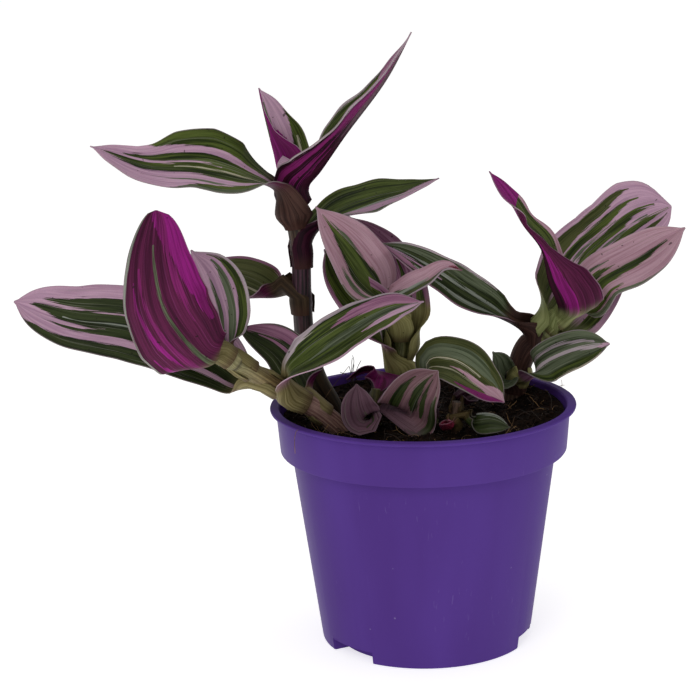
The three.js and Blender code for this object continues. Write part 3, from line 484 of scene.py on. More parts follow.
            ("bright_magenta", [(0.7, 0, 0), (0.8, 0, 1), (1, 0, 1.3)]),
            ("dark_green", [(0, 1, 0.05), (1, 1, 0.05)])],
    },
    "leaf_young_muted": {
        "stem": "stem_young_left", "at": 0.65, "width": 17, "shape": (0.4, 0.6), "fold": 15,
        "slot": "leaf_pink",
        "midrib": [(-23, -23, 94), (-25, -25, 100), (-25, -25, 109)], "faces": [(0.3, -0.9, 0.2)],
        # the muted ground is a pink upper face with painted shade
        "upper": ["muted", ("grey_green", [(0, 0.3, 0.1), (0.5, 0.3, 0)]),
            ("dark_green", [(0, -0.5, 0.1), (0.35, -0.5, 0)])],
        "under": ["plum"],
    },
    "leaf_young_dark": {
        "stem": "stem_young_left", "at": 0.8, "width": 16, "cup": (40, 30), "fold": 15,
        "slot": "leaf_plum",
        "midrib": [(-15, 2, 104), (-22, 6, 106), (-30, 6, 103)], "faces": [(0, 0.4, 0.9)],
        "upper": ["magenta", ("plum", [(0, 0, 0.3), (0.5, 0, 0)])],
        "under": ["dark_plum", ("magenta", [(0.1, 0, 0.3), (0.6, 0, 0.4), (1, 0, 0.3)])],
    },
    "leaf_low_front": {
        "stem": "stem_low", "at": 0.71, "sheath": 2.5, "width": 26, "shape": (0.2, 0.5),
        # the muted collar tissue runs up to 0.3 of the blade as painted shade on the leaf's lower
        # part
        "cup": (30, 30), "fold": 10, "slot": "leaf_pink", "collar": ("muted", 0.3),
        "midrib": [(-5, -16, 94), (-5, -22, 98), (-2, -25, 105), (6, -26, 114)],
        "faces": [(-0.1, -0.95, 0.2), (-0.1, -0.95, 0.3)],
        "upper": ["shaded_pink",
            ("dark_green", [(0.4, 0.1, 0), (0.5, 0.06, 0.13), (0.7, -0.04, 0.16), (0.92, -0.1, 0)]),
            ("dark_green", [(0.4, 0.42, 0), (0.5, 0.4, 0.08), (0.7, 0.3, 0.07), (0.88, 0.2, 0)]),
            ("dark_green", [(0.35, -0.5, 0.1), (0.5, -0.52, 0.16), (0.65, -0.56, 0.1),
                (0.8, -0.6, 0)]),
            ("dark_green", [(0.35, 0.8, 0.1), (0.5, 0.82, 0.14), (0.65, 0.82, 0.1), (0.8, 0.85, 0)])],
        "under": ["plum"],
    },
    "leaf_low_arching": {
        "stem": "stem_low", "at": 0.86, "sheath": 3, "width": 24, "shape": (0.5, 0.5),
        "cup": (40, 30), "fold": 15,
        "midrib": [(3, -9, 112), (12, -14, 113), (22, -19, 107), (31, -22, 100)],
        "faces": [(0.1, -0.6, 0.8), (0.6, -0.6, 0.5)],
        "upper": ["olive", ("grey_green", [(0, -0.5, 0.25), (0.7, -0.5, 0.2), (0.9, -0.5, 0)]),
            ("cream", [(0.1, -0.2, 0), (0.4, -0.2, 0.012), (0.7, -0.2, 0)]),
            ("cream", [(0.1, 0.25, 0), (0.4, 0.25, 0.012), (0.8, 0.25, 0)]),
            ("dusty_pink", [(0.45, 0.1, 0), (0.65, 0.1, 0.06), (0.8, 0.1, 0.16), (1, 0, 0.9)]),
            ("magenta", [(0.6, 0.8, 0), (0.85, 0.75, 0.25), (1, 0.6, 0.4)])],
        "under": ["mauve"],
    },
    "leaf_young_red": {
        "stem": "stem_young_right", "at": 0.7, "width": 9, "cup": (40, 30), "fold": 15,
        "slot": "leaf_plum",
        "midrib": [(9, -30, 92), (8, -33, 95)], "faces": [(0, 0.8, 0.5)],
        "upper": ["red"],
        "under": ["red"],
    },
    "leaf_young_green": {
        "stem": "stem_young_right", "at": 0.79, "width": 11, "cup": (40, 30), "fold": 15,
        "midrib": [(19, -26, 92), (26, -28, 93), (33, -29, 92)], "faces": [(0, -0.7, 0.7)],
        "upper": ["dark_green", ("silver", [(0.2, -0.9, 0), (0.6, -0.9, 0.06), (0.9, -0.9, 0)])],
        "under": ["dark_green"],
    },
    "leaf_young_brown": {
        "stem": "stem_young_right", "at": 0.88, "width": 12, "cup": (60, 40), "fold": 15,
        "slot": "leaf_plum",
        "midrib": [(14, -17, 98), (18, -14, 100), (22, -12, 101)], "faces": [(-0.2, -0.7, 0.7)],
        "upper": ["muted", ("dark_plum", [(0, 0.3, 0.1), (1, 0.3, 0.2)]),
            ("dark_plum", [(0, -0.4, 0.1), (1, -0.4, 0.2)])],
        "under": ["dark_plum"],
    },
}
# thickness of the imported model's blades, by which sheaths lie outside each other
BLADE = 0.8
SHEATH_WRAP = 300.0
SHEATH_ROW = 1.2
MIN_SHEATH_ROWS = 3
MIN_BLADE_ROWS = 24
# between the stem and a midrib's first point
SHOULDER = 8
# the rows of a sheath have shares from minus this up to 0
SHEATH_SHARE = 0.1
# between a sheath's foot and its stem
SNUG_GAP = 0.15
TIP_WIDTH = 0.7
# the share of the blade along which its neck widens
NECK_LENGTH = 0.3
# an outline begins this share of the blade before its first row
OUTLINE_START = 0.12
# length along which a sheath opens into its blade
OPENING = 14.0
# a blade turns to where its upper face looks, from this length to this share of it
TURN_START = 4.0
TURN_END = 0.45
# shares between which the direction and the fold change to those of the tip
FACE_CHANGE = (0.5, 1)
FOLD_CHANGE = (0.5, 0.9)
# waves in the margins: their height, the lengths in which two of them turn by a radian, and the
# half width from which they have their full height
RIPPLE = 0.45
LONG_WAVE = 4.4
SHORT_WAVE = 2.3
RIPPLE_SPAN = 6
# shares of the thickness that the margins and the tip lose
MARGIN_THINNING = 0.55
TIP_THINNING = 0.3
# how far a stripe runs past its last knot, and the distance that stands for no stripe
STRIPE_END = 0.02
NO_STRIPE = -3.0
COLLAR_FADE = 0.1
# a rim shows more on a leaf wider than this
WIDE_LEAF = 17
WIDE_RIM = 0.5
NARROW_RIM = 0.2


# ---- Colours and nodes -----------------------------------------------------------------------
PLUS, TIMES, LESS, MORE_THAN = (
    {"operation": name} for name in ("ADD", "MULTIPLY", "SUBTRACT", "GREATER_THAN"))
SOFT_STEP = {"interpolation_type": "SMOOTHSTEP"}
BLEND = {"data_type": "RGBA"}
SHADE = {"data_type": "RGBA", "blend_type": "MULTIPLY"}
# the inputs that take a node's values in order, where they aren't its first ones
INPUTS = {"Mix": (0, 6, 7), "TexNoise": (0, 2, 3, 4)}
# the output that is read, where it isn't the first one
OUTPUTS = {"Mix": 2, "Attribute": "Fac", "TexCoord": "Object"}


def linear(hex_colour):
    """sRGB hex to linear RGBA."""
    channels = [int(hex_colour[i:i + 2], 16) / 255 for i in (1, 3, 5)]
    return [c / 12.92 if c <= 0.04045 else ((c + 0.055) / 1.055) ** 2.4 for c in channels] + [1.0]


def wire(node, inputs):
    """Sets or links a node's inputs, each found by its number or its name."""
    for place, value in inputs.items():
        socket = node.inputs[place]
        if isinstance(value, bpy.types.NodeSocket):
            node.id_data.links.new(value, socket)
        else:
            socket.default_value = value


def add(tree, kind, settings, *values, output=None, **named):
    """Adds a node with its settings and its inputs, in order or by name, and gives an output."""
    node = tree.nodes.new("ShaderNode" + kind)
    for name, value in settings.items():
        setattr(node, name, value)
    wire(node, dict(zip(INPUTS.get(kind, range(len(values))), values)))
    wire(node, {name.replace("_", " "): value for name, value in named.items()})
    return node.outputs[OUTPUTS.get(kind, 0) if output is None else output]


def new_material(name, inputs):
    """A material, what adds a node to it, and its shader, with what is the same all over it."""
    material = bpy.data.materials.new(name)
    material.use_nodes = True
    shader = material.node_tree.nodes["Principled BSDF"]
    wire(shader, inputs)
    return material, partial(add, material.node_tree), shader


def colour_setting(name, hex_colour):
    """A colour that the user may change."""
    return bpy.props.FloatVectorProperty(
        name=name, description=f"Colour: {name.lower()}", default=linear(hex_colour)[:3],
        subtype="COLOR", min=0.0, max=1.0)


def tones(settings, part):
    """The dark and the light tone that the settings give a part."""
    return [(*getattr(settings, f"{part}_{depth}"), 1.0) for depth in ("dark", "light")]


# ---- Materials -------------------------------------------------------------------------------
def leaf_tissue(name, face, tissues, collar, rim_strength, seed, settings):
    """Living leaf skin: waxy, a little translucent, with stripes that run from sheath to tip.

    The wax is satin, so highlights stay broad and soft. The mesh gives the distance to each
    stripe's edge in millimetres, and fine veins 0.7 mm wide follow the same lines.
    """
    roughness, specular = LEAF_GLOSS[face]
    material, node, shader = new_material(name, {
        "IOR": 1.45, "Roughness": roughness, "Specular IOR Level": specular,
        "Subsurface Weight": 0.08, "Subsurface Radius": (0.0012, 0.0008, 0.0006),
        "Subsurface Scale": 1.0})
    along, across, share, margin = (
        node("Attribute", {"attribute_name": key}) for key in ("along", "across", "share", "margin"))

    def lines(per_mm, length_share, offset, detail):
        """Noise that is fine across the leaf and drawn out along it."""
        place = node("CombineXYZ", {}, node("Math", TIMES, across, per_mm),
                     node("Math", TIMES, along, length_share), seed + offset)
        return node("TexNoise", {}, place, 1.0, detail, 0.6)

    veins = lines(1.4, 0.045, 0.0, 3.0)     # 0.7 mm wide, 20 mm long
    hairlines = lines(3.6, 0.07, 3.0, 2.0)  # 0.3 mm wide, drawn coarser than real hairs to show
    bands = lines(0.35, 0.02, 5.0, 2.0)     # 3 mm wide
    ragged = node("Math", PLUS, node("Math", TIMES, node("Math", LESS, veins, 0.45), 2.6),
                  node("Math", TIMES, node("Math", LESS, hairlines, 0.45), 1.6))
    fine = node("Math", PLUS, node("Math", TIMES, veins, 0.38), node("Math", TIMES, hairlines, 0.22))
    uneven = node("Math", PLUS, node("Math", TIMES, bands, 0.4), fine)
    tone = node("MapRange", SOFT_STEP, uneven, 0.4, 0.6)
    colour = node("Mix", BLEND, tone, *tones(settings, tissues[0]))
    for tissue in dict.fromkeys(tissues[1:]):
        edge = node("Attribute", {"attribute_name": f"{face}_{tissue}"})
        mask = node("MapRange", SOFT_STEP, node("Math", PLUS, edge, ragged), -0.1, 0.12)
        stripe = node("Mix", BLEND, tone, *tones(settings, tissue))
        colour = node("Mix", BLEND, mask, colour, stripe)
    # pale lines over the veins, and a pale rim 0.3 mm wide
    pale = node("MapRange", SOFT_STEP, lines(1.9, 0.016, 11.0, 2.0), 0.62, 0.7, 0.0, 0.4)
    colour = node("Mix", BLEND, pale, colour, linear(LINE_COLOUR[face]))
    rim = node("MapRange", SOFT_STEP, margin, 0.42, 0.2, 0.0, rim_strength)
    colour = node("Mix", BLEND, rim, colour, linear(RIM_COLOUR[face]))
    # the sheath's own colour, darker at its foot, runs raggedly into the blade's
    sheath = node("Mix", BLEND, tone, *tones(settings, collar[0]))
    foot = node("MapRange", SOFT_STEP, share, -0.02, -0.1, 0.0, 0.6)
    sheath = node("Mix", BLEND, foot, sheath, linear(FOOT_COLOUR))
    ragged_share = node("Math", PLUS, share, node("Math", TIMES, ragged, 0.02))
    covered = node("MapRange", SOFT_STEP, ragged_share, collar[1] + COLLAR_FADE, collar[1])
    colour = node("Mix", BLEND, covered, colour, sheath)
    # cells of 0.25 mm give the skin a faint grain
    place = node("TexCoord", {})
    cells = node("TexNoise", {}, place, 4000.0, 1.0)
    grain = node("MapRange", SOFT_STEP, cells, 0.3, 0.7, 0.82, 1.12)
    colour = node("Mix", SHADE, 0.35, colour, grain)
    # a few dark blemishes under a millimetre across
    patches = node("TexNoise", {}, place, 520.0, 1.0)
    spots = node("MapRange", SOFT_STEP, patches, 0.745, 0.77, 0.0, 0.7)
    colour = node("Mix", BLEND, spots, colour, linear(BLEMISH_COLOUR))
    ribs = node("Math", PLUS, veins, node("Math", TIMES, hairlines, 0.35))
    height = node("Math", TIMES, ribs, node("MapRange", SOFT_STEP, share, 0.04, 0.2, 0.15, 1.0))
    relief = node("Bump", {}, Height=height, Distance=0.00025, Strength=0.6)
    wire(shader, {"Base Color": colour, "Normal": relief})
    return material


def stem_skin(name, stops, seed):
    """Fleshy stem skin: smooth and waxy, with lengthwise stripes about 0.8 mm apart."""
    material, node, shader = new_material(name, {
        "IOR": 1.45, "Roughness": 0.45, "Specular IOR Level": 0.3,
        "Subsurface Weight": 0.1, "Subsurface Radius": (0.0015, 0.0009, 0.0006),
        "Subsurface Scale": 1.0})
    along, across, ring = (
        node("Attribute", {"attribute_name": key}) for key in ("along", "across", "node_ring"))
    ramps = []
    for tone in (1, 2):
        ramp = node("ValToRGB", {}, along)
        elements = ramp.node.color_ramp.elements
        elements.remove(elements[1])
        for number, stop in enumerate(stops):
            element = elements.new(stop[0]) if number else elements[0]
            element.position = stop[0]
            element.color = linear(stop[tone])
        ramps.append(ramp)
    lines = node("CombineXYZ", {}, node("Math", TIMES, across, 1.2),
                 node("Math", TIMES, along, 4.0), seed)
    stripe = node("TexNoise", {}, lines, 1.0, 3.0, 0.6)
    colour = node("Mix", BLEND, node("MapRange", SOFT_STEP, stripe, 0.38, 0.62), *ramps)
    # specks of a millimetre, and a dark line at each node
    specks = node("TexNoise", {}, node("TexCoord", {}), 900.0, 2.0, 0.5)
    mottle = node("MapRange", SOFT_STEP, specks, 0.3, 0.7, 0.8, 1.15)
    colour = node("Mix", SHADE, 0.5, colour, mottle)
    colour = node("Mix", BLEND, node("Math", TIMES, ring, 0.75), colour, linear(NODE_COLOUR))
    wire(shader, {"Base Color": colour,
                  "Normal": node("Bump", {}, Height=stripe, Distance=0.0003, Strength=0.5)})
    return material


def pot_plastic(settings):
    """Injection-moulded polypropylene, dyed purple: satin, with scuffs, dust and faint flow."""
    material, node, shader = new_material("moulded_purple_polypropylene", {
        "IOR": 1.49, "Specular IOR Level": 0.04})
    place = node("TexCoord", {})
    # marks of the flow 45 mm wide, drawn out up and down
    stretched = node("Mapping", {}, place, Scale=(1.0, 1.0, 0.25))
    flow = node("TexNoise", {}, stretched, 22.0, 3.0, 0.55)
    shade = node("MapRange", SOFT_STEP, flow, 0.3, 0.7)
    colour = node("Mix", BLEND, shade, *tones(settings, "plastic"))
    # dry dust specks about 0.7 mm across, in a few of the pattern's cells
    cell = node("TexVoronoi", {"feature": "F1"}, output="Color", Vector=place, Scale=420.0,
                Randomness=1.0)
    round_speck = node("MapRange", SOFT_STEP, cell.node.outputs["Distance"], 0.22, 0.1)
    chosen = node("Math", TIMES, node("Math", MORE_THAN, cell, 0.93), round_speck)
    speck = node("Math", TIMES, chosen, 0.5)
    colour = node("Mix", BLEND, speck, colour, linear(DUST_COLOUR))
    # pale scuffs 5 to 10 mm long, in patches
    slanted = node("Mapping", {}, place, Rotation=(0.3, 0.5, 0.2), Scale=(1.0, 1.0, 0.12))
    scratch = node("TexNoise", {}, slanted, 900.0, 2.0, 0.5)
    patch = node("TexNoise", {}, place, 28.0, 2.0, 0.5)
    scuff = node("Math", TIMES, node("MapRange", SOFT_STEP, scratch, 0.66, 0.74),
                 node("MapRange", SOFT_STEP, patch, 0.52, 0.7))
    colour = node("Mix", BLEND, node("Math", TIMES, scuff, 0.35), colour, linear(SCUFF_COLOUR))
    worn = node("Math", PLUS, node("MapRange", SOFT_STEP, flow, 0.3, 0.7, 0.38, 0.5),
                node("Math", TIMES, scuff, 0.2))
    pimple = node("TexNoise", {}, place, 1800.0, 2.0, 0.5)
    relief = node("Bump", {}, Height=node("Math", PLUS, pimple, node("Math", TIMES, flow, 2.0)),
                  Distance=0.00006, Strength=0.5)
    wire(shader, {"Base Color": colour, "Roughness": worn, "Normal": relief})
    return material


def coir_soil(settings):
    """Damp coir and peat, with painted shade: the colour follows the lumps' height, almost black
    between the crumbs and warmer brown on top of them.
    """
    material, node, shader = new_material("damp_coir_soil", {
        "IOR": 1.45, "Roughness": 0.95, "Specular IOR Level": 0.12})
    place = node("TexCoord", {})
    lumps = node("TexNoise", {}, place, 320.0, 4.0, 0.65)    # 3 mm
    grains = node("TexNoise", {}, place, 1300.0, 3.0, 0.6)  # 0.8 mm
    # painted shade: the hollows between the lumps get the dark tone and their tops the light one
    shade_by_height = node("MapRange", SOFT_STEP, lumps, 0.35, 0.68)
    colour = node("Mix", BLEND, shade_by_height, *tones(settings, "damp"))
    bright = node("MapRange", SOFT_STEP, grains, 0.58, 0.75)
    colour = node("Mix", BLEND, bright, colour, linear(GRAIN_COLOUR))
    height = node("Math", PLUS, lumps, node("Math", TIMES, grains, 0.5))
    wire(shader, {"Base Color": colour,
                  "Normal": node("Bump", {}, Height=height, Distance=0.0012, Strength=0.8)})
    return material


def dry_fibre(name, dark, light):
    """Coir or root hair: dry, matt, uneven in colour along its length."""
    material, node, shader = new_material(name, {"IOR": 1.45, "Roughness": 0.75})
    patches = node("TexNoise", {}, node("TexCoord", {}), 260.0, 2.0, 0.5)  # 4 mm
    wire(shader, {"Base Color": node("Mix", BLEND, node("MapRange", SOFT_STEP, patches, 0.35, 0.65),
                                     linear(dark), linear(light))})
    return material


def light_table(settings):
    """White acrylic light table, matt, lit a little from below so that it stays white."""
    material, _, _ = new_material("white_acrylic_light_table", {
        "Base Color": (*settings.floor_colour, 1.0), "IOR": 1.45, "Roughness": 0.9,
        "Specular IOR Level": 0.1,
        "Emission Color": WHITE, "Emission Strength": 0.68})
    return material


# ---- Curves ----------------------------------------------------------------------------------
class Route:
    """A smooth curve through points, read by the share of its length."""

    STEPS = 60

    def __init__(self, points):
        knots = [np.array(p, float) for p in points]
        before = 2 * knots[0] - knots[1]
        after = 2 * knots[-1] - knots[-2]
        knots = [before, *knots, after]
        places = []
        for i in range(len(knots) - 3):
            places.extend(self.stretch(*knots[i:i + 4]))
        places.append(knots[-2])
        self.places = np.array(places)
        steps = np.linalg.norm(np.diff(self.places, axis=0), axis=1)
        self.lengths = np.concatenate([[0.0], np.cumsum(steps)])
        self.length = self.lengths[-1]

    def stretch(self, p0, p1, p2, p3):
        """Places along the curve from p1 to p2."""
        d0, d1, d2 = (max(math.sqrt(np.linalg.norm(b - a)), 1e-4)
                      for a, b in ((p0, p1), (p1, p2), (p2, p3)))
        t1 = ((p1 - p0) / d0 - (p2 - p0) / (d0 + d1) + (p2 - p1) / d1) * d1
        t2 = ((p2 - p1) / d1 - (p3 - p1) / (d1 + d2) + (p3 - p2) / d2) * d1
        for t in np.arange(self.STEPS) / self.STEPS:
            yield (p1 + t1 * t + (3 * (p2 - p1) - 2 * t1 - t2) * t ** 2
                   + (2 * (p1 - p2) + t1 + t2) * t ** 3)

    def at(self, share):
        where = min(max(share, 0.0), 1.0) * self.length
        return np.array([np.interp(where, self.lengths, self.places[:, k]) for k in range(3)])

    def tangent(self, share):
        step = 0.4 / self.length
        ahead = self.at(min(1.0, share + step)) - self.at(max(0.0, share - step))
        return ahead / np.linalg.norm(ahead)


def unit(vector):
    return vector / np.linalg.norm(vector)


def mix(a, b, t):
    return a + (b - a) * t


def smooth(low, high, value):
    """A soft step from 0 at the low value to 1 at the high one."""
    t = min(max((value - low) / (high - low), 0.0), 1.0)
    return t * t * (3 - 2 * t)


def turned_with(vector, before, after):
    """The vector, turned as the direction `before` turns to `after`."""
    turn = Vector(before).rotation_difference(Vector(after))
    return np.array(turn @ Vector(vector))


# ---- Mesh helpers ----------------------------------------------------------------------------
def deselect():
    if bpy.context.object and bpy.context.object.mode != "OBJECT":
        bpy.ops.object.mode_set(mode="OBJECT")
    bpy.ops.object.select_all(action="DESELECT")


def make_active(piece):
    deselect()
    piece.select_set(True)
    bpy.context.view_layer.objects.active = piece


def apply_modifier(piece, kind, **settings):
    modifier = piece.modifiers.new(kind.lower(), kind)
    for name, value in settings.items():
        setattr(modifier, name, value)
    make_active(piece)
    bpy.ops.object.modifier_apply(modifier=modifier.name)


def sheet(name, columns, rows):
    """A flat grid of one unit, with its points listed row by row from -Y to +Y."""
    deselect()
    bpy.ops.mesh.primitive_grid_add(x_subdivisions=columns, y_subdivisions=rows, size=1.0)
    piece = bpy.context.object
    piece.name = name
    return piece


def set_places(piece, places):
    piece.data.vertices.foreach_set("co", np.asarray(places, np.float32).ravel())
    piece.data.update()


def set_attributes(piece, values):
    """Gives every point of the piece a value under each name."""
    for name, numbers in values.items():
        attribute = piece.data.attributes.new(name, "FLOAT", "POINT")
        attribute.data.foreach_set("value", np.asarray(numbers, np.float32).ravel())


def smooth_shaded(piece, degrees):
    make_active(piece)
    bpy.ops.object.shade_smooth_by_angle(angle=math.radians(degrees))


def outwards(piece):
    """Turns a closed mesh's faces outwards."""
    mesh = bmesh.new()
    mesh.from_mesh(piece.data)
    bmesh.ops.remove_doubles(mesh, verts=mesh.verts, dist=1e-6)
    bmesh.ops.recalc_face_normals(mesh, faces=mesh.faces)
    if mesh.calc_volume(signed=True) < 0:
        bmesh.ops.reverse_faces(mesh, faces=mesh.faces)
    mesh.to_mesh(piece.data)
    mesh.free()


def hand_over(piece, slot, *nodes):
    """Fixes the piece to the plant's body, and lets it stand for the nodes."""
    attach(piece, "root")
    if nodes:
        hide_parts(*nodes)


# ---- Stems -----------------------------------------------------------------------------------
ROUTES = {name: Route(stem["route"]) for name, stem in STEMS.items()}


def stem_radius(stem, length, share):
    """Radius at a share of the stem's length, with the swelling of its nodes."""
    swell = sum(math.exp(-(((share - node) * length / NODE_SPREAD) ** 2)) for node in stem["nodes"])
    return mix(*stem["radius"], share) + NODE_SWELL * swell


def model_stem(name, seed):
    """One round stem from its lower end in the soil to its tip, with its nodes."""
    stem, route = STEMS[name], ROUTES[name]
    rows = int(route.length / STEM_ROW)
    piece = sheet(name + "_skin", STEM_COLUMNS, rows)
    side = unit(np.cross(route.tangent(0), (0.0, 1.0, 0.3)))
    before = route.tangent(0)
    places, along, across, rings = [], [], [], []
    for row in range(rows + 1):
        share = row / rows
        tangent = route.tangent(share)
        side = turned_with(side, before, tangent)
        before = tangent
        other = np.cross(tangent, side)
        radius = stem_radius(stem, route.length, share)
        ring = max(math.exp(-(((share - node) * route.length / LINE_SPREAD) ** 2))
                   for node in stem["nodes"])
        radius -= LINE_DEPTH * ring
        for column in range(STEM_COLUMNS + 1):
            angle = 2 * math.pi * (column % STEM_COLUMNS) / STEM_COLUMNS
            reach = radius * sum((depth * math.sin(turns * angle + waves * share + seed)
                                  for turns, waves, depth in SKIN_WAVES), 1)
            outward = math.cos(angle) * side + math.sin(angle) * other
            places.append((route.at(share) + reach * outward) * MM)
            along.append(share)
            across.append(column / STEM_COLUMNS * 2 * math.pi * radius)
            rings.append(ring)
    set_places(piece, places)
    set_attributes(piece, {"along": along, "across": across, "node_ring": rings})
    make_active(piece)
    bpy.ops.object.mode_set(mode="EDIT")
    bpy.ops.mesh.select_all(action="SELECT")
    bpy.ops.mesh.remove_doubles(threshold=1e-6)
    bpy.ops.mesh.select_all(action="DESELECT")
    bpy.ops.mesh.select_non_manifold()
    bpy.ops.mesh.edge_face_add()
    bpy.ops.object.mode_set(mode="OBJECT")
    outwards(piece)
    piece.data.materials.append(stem_skin(name + "_skin", stem["tones"], seed))
    smooth_shaded(piece, 50)
    hand_over(piece, stem["slot"], name)


# ---- Leaves ----------------------------------------------------------------------------------
def between(knots, share, column):
    """A value between knots that each start with their share."""
    return np.interp(share, [knot[0] for knot in knots], [knot[column] for knot in knots])


def half_width(leaf, share):
    """Half the blade's width by its outline, without neck, sides and edge."""
    rise, fall = leaf["shape"]
    widest = max(0.0, (rise - OUTLINE_START * fall) / (rise + fall))

    def outline(t):
        return (t + OUTLINE_START) ** rise * max(0.0, 1 - t) ** fall

    taper = 1 - math.exp(-(1 - share) / leaf["point"]) if leaf["point"] else 1.0
    return max(TIP_WIDTH / 2, leaf["width"] / 2 * outline(share) / outline(widest) * taper)


def curled_section(half_span, cup, fold, columns, sides):
    """Places across a leaf, from its left margin to its right, as (across, up)."""
    count = columns // 2
    angles = np.radians(fold / 2 + cup / 2 * (np.arange(count) + 0.5) / count)
    left, right = (np.stack([np.cumsum(step * np.cos(angles)), np.cumsum(step * np.sin(angles))], 1)
                   for step in (half_span * side / count for side in sides))
    return np.concatenate([left[::-1] * (-1, 1), [[0.0, 0.0]], right])


def leaf_rows(leaf, columns, rows, sheath_rows, seed):
    """The leaf's middle surface, row by row.

    A row is its place on the midrib, the directions along the leaf and up from it, the places
    across it, its share of the blade and its half width.
    """
    stem, route = STEMS[leaf["stem"]], ROUTES[leaf["stem"]]
    shares = [min(1.0, leaf["at"] + t * leaf["sheath"] / route.length) for t in (0, 0.5, 1)]
    outward = np.array(leaf["midrib"][0]) - route.at(shares[2])
    thickest = max(stem_radius(stem, route.length, share) for share in shares)
    ride = thickest + GAP + leaf["nest"] * (BLADE + 2 * GAP) + BLADE / 2

    def station(share, reach):
        """A place beside the stem on the leaf's side, the way along the stem and the way in."""
        tangent = route.tangent(share)
        side = unit(outward - tangent * outward.dot(tangent))
        return route.at(share) + side * reach, tangent, -side

    result = []
    for row in range(sheath_rows):
        share = mix(shares[0], shares[2], row / sheath_rows)
        snug = stem_radius(stem, route.length, share) + SNUG_GAP + BLADE / 2
        reach = mix(snug, ride, smooth(0.0, 1.0, row / sheath_rows))
        span = reach * math.radians(SHEATH_WRAP) / 2
        section = curled_section(span, SHEATH_WRAP, 0, columns, (1, 1))
        result.append((*station(share, reach), section, (row / sheath_rows - 1) * SHEATH_SHARE, span))

    wrap = ride * math.radians(SHEATH_WRAP) / 2
    end, before, carried = station(shares[2], ride)
    middle = station(shares[1], ride)[0]
    blade = Route([middle, end, *leaf["midrib"]])
    start = np.linalg.norm(end - middle) / blade.length
    first_aim, last_aim = np.array(leaf["faces"][0], float), np.array(leaf["faces"][-1], float)
    across = np.linspace(-1, 1, columns + 1)
    margin = np.abs(across) ** 3
    wave = random.Random(seed)
    phases = [wave.uniform(0, TURN) for _ in range(4)]
    for row in range(rows + 1):
        share = row / rows
        at = mix(start, 1.0, share)
        tangent = before if row == 0 else blade.tangent(at)
        carried = turned_with(carried, before, tangent)
        before = tangent
        aim = unit(mix(first_aim, last_aim, smooth(*FACE_CHANGE, share)))
        up = mix(carried, aim, smooth(TURN_START / blade.length, TURN_END, share))
        opening = smooth(0, OPENING / blade.length, share)
        neck = mix(leaf["neck"], 1, smooth(0, NECK_LENGTH, share))
        span = mix(wrap, half_width(leaf, share) * neck, smooth(0, OUTLINE_START, share))
        cup = mix(SHEATH_WRAP, mix(*leaf["cup"], share), opening)
        sides = [mix(1, side * between(leaf["edge"], share, column), opening)
                 for column, side in enumerate(leaf["sides"], 1)]
        fold = leaf["fold"] * opening * mix(1, 1 - leaf["open"], smooth(*FOLD_CHANGE, share))
        section = curled_section(span, cup, fold, columns, sides)
        ripple = [math.sin(share * blade.length / LONG_WAVE + phases[side])
                  + 0.5 * math.sin(share * blade.length / SHORT_WAVE + phases[side + 2])
                  for side in (0, 1)]
        waves = np.where(across < 0, *ripple)
        section[:, 1] += RIPPLE * opening * min(1, span / RIPPLE_SPAN) * margin * waves
        result.append((blade.at(at), tangent, up, section, share, span))
    return result


def stripe_distance(knots, share, across, half_span):
    """Distance in millimetres inside a stripe's edge, negative outside."""
    if not knots[0][0] - STRIPE_END <= share <= knots[-1][0] + STRIPE_END:
        return NO_STRIPE
    inside = between(knots, share, 2) - abs(across - between(knots, share, 1))
    return inside * max(half_span, 1.0)


def model_leaf(name, settings, seed):
    """One leaf, from the sheath round its stem to its tip."""
    leaf, columns = USUAL_LEAF | LEAVES[name], settings.columns
    length = Route(leaf["midrib"]).length + SHOULDER
    rows = max(MIN_BLADE_ROWS, int(length / settings.row_spacing))
    sheath_rows = max(MIN_SHEATH_ROWS, int(leaf["sheath"] / SHEATH_ROW))
    lines = leaf_rows(leaf, columns, rows, sheath_rows, seed)
    piece = sheet(name + "_blade", columns, len(lines) - 1)
    stripes = {}
    for face in ("upper", "under"):
        for tissue, knots in leaf[face][1:]:
            stripes.setdefault(f"{face}_{tissue}", []).append(knots)
    values = {key: [] for key in ("along", "across", "share", "margin", *stripes)}
    places, weights = [], []
    distance, last = 0.0, lines[0][0]
    for place, tangent, up, section, share, span in lines:
        right = unit(np.cross(tangent, up))
        normal = np.cross(right, tangent)
        distance += np.linalg.norm(place - last)
        last = place
        for column, (x, y) in enumerate(section):
            u = 2 * column / columns - 1
            places.append((place + right * x + normal * y) * MM)
            values["along"].append(distance)
            values["across"].append(u * leaf["width"] / 2)
            values["share"].append(share)
            values["margin"].append((1 - abs(u)) * span)
            for key, group in stripes.items():
                values[key].append(max(stripe_distance(knots, share, u, span) for knots in group))
            weights.append(
                1.0 - MARGIN_THINNING * abs(u) ** 6 - TIP_THINNING * smooth(0.9, 1.0, share))
    set_places(piece, places)
    set_attributes(piece, values)
    group = piece.vertex_groups.new(name="thickness")
    for number, weight in enumerate(weights):
        group.add([number], weight, "REPLACE")
    rim = WIDE_RIM if leaf["width"] > WIDE_LEAF else NARROW_RIM
    for face in ("upper", "under"):
        tissues = [leaf[face][0], *(tissue for tissue, _ in leaf[face][1:])]
        piece.data.materials.append(leaf_tissue(
            f"{name}_{face}_skin", face, tissues, leaf["collar"], rim, seed, settings))
    apply_modifier(piece, "SOLIDIFY", thickness=settings.thickness * MM, offset=0.0,
                   use_even_offset=False, use_quality_normals=True, vertex_group="thickness",
                   material_offset=1, material_offset_rim=0)
    smooth_shaded(piece, 60)
    hand_over(piece, leaf["slot"], name)


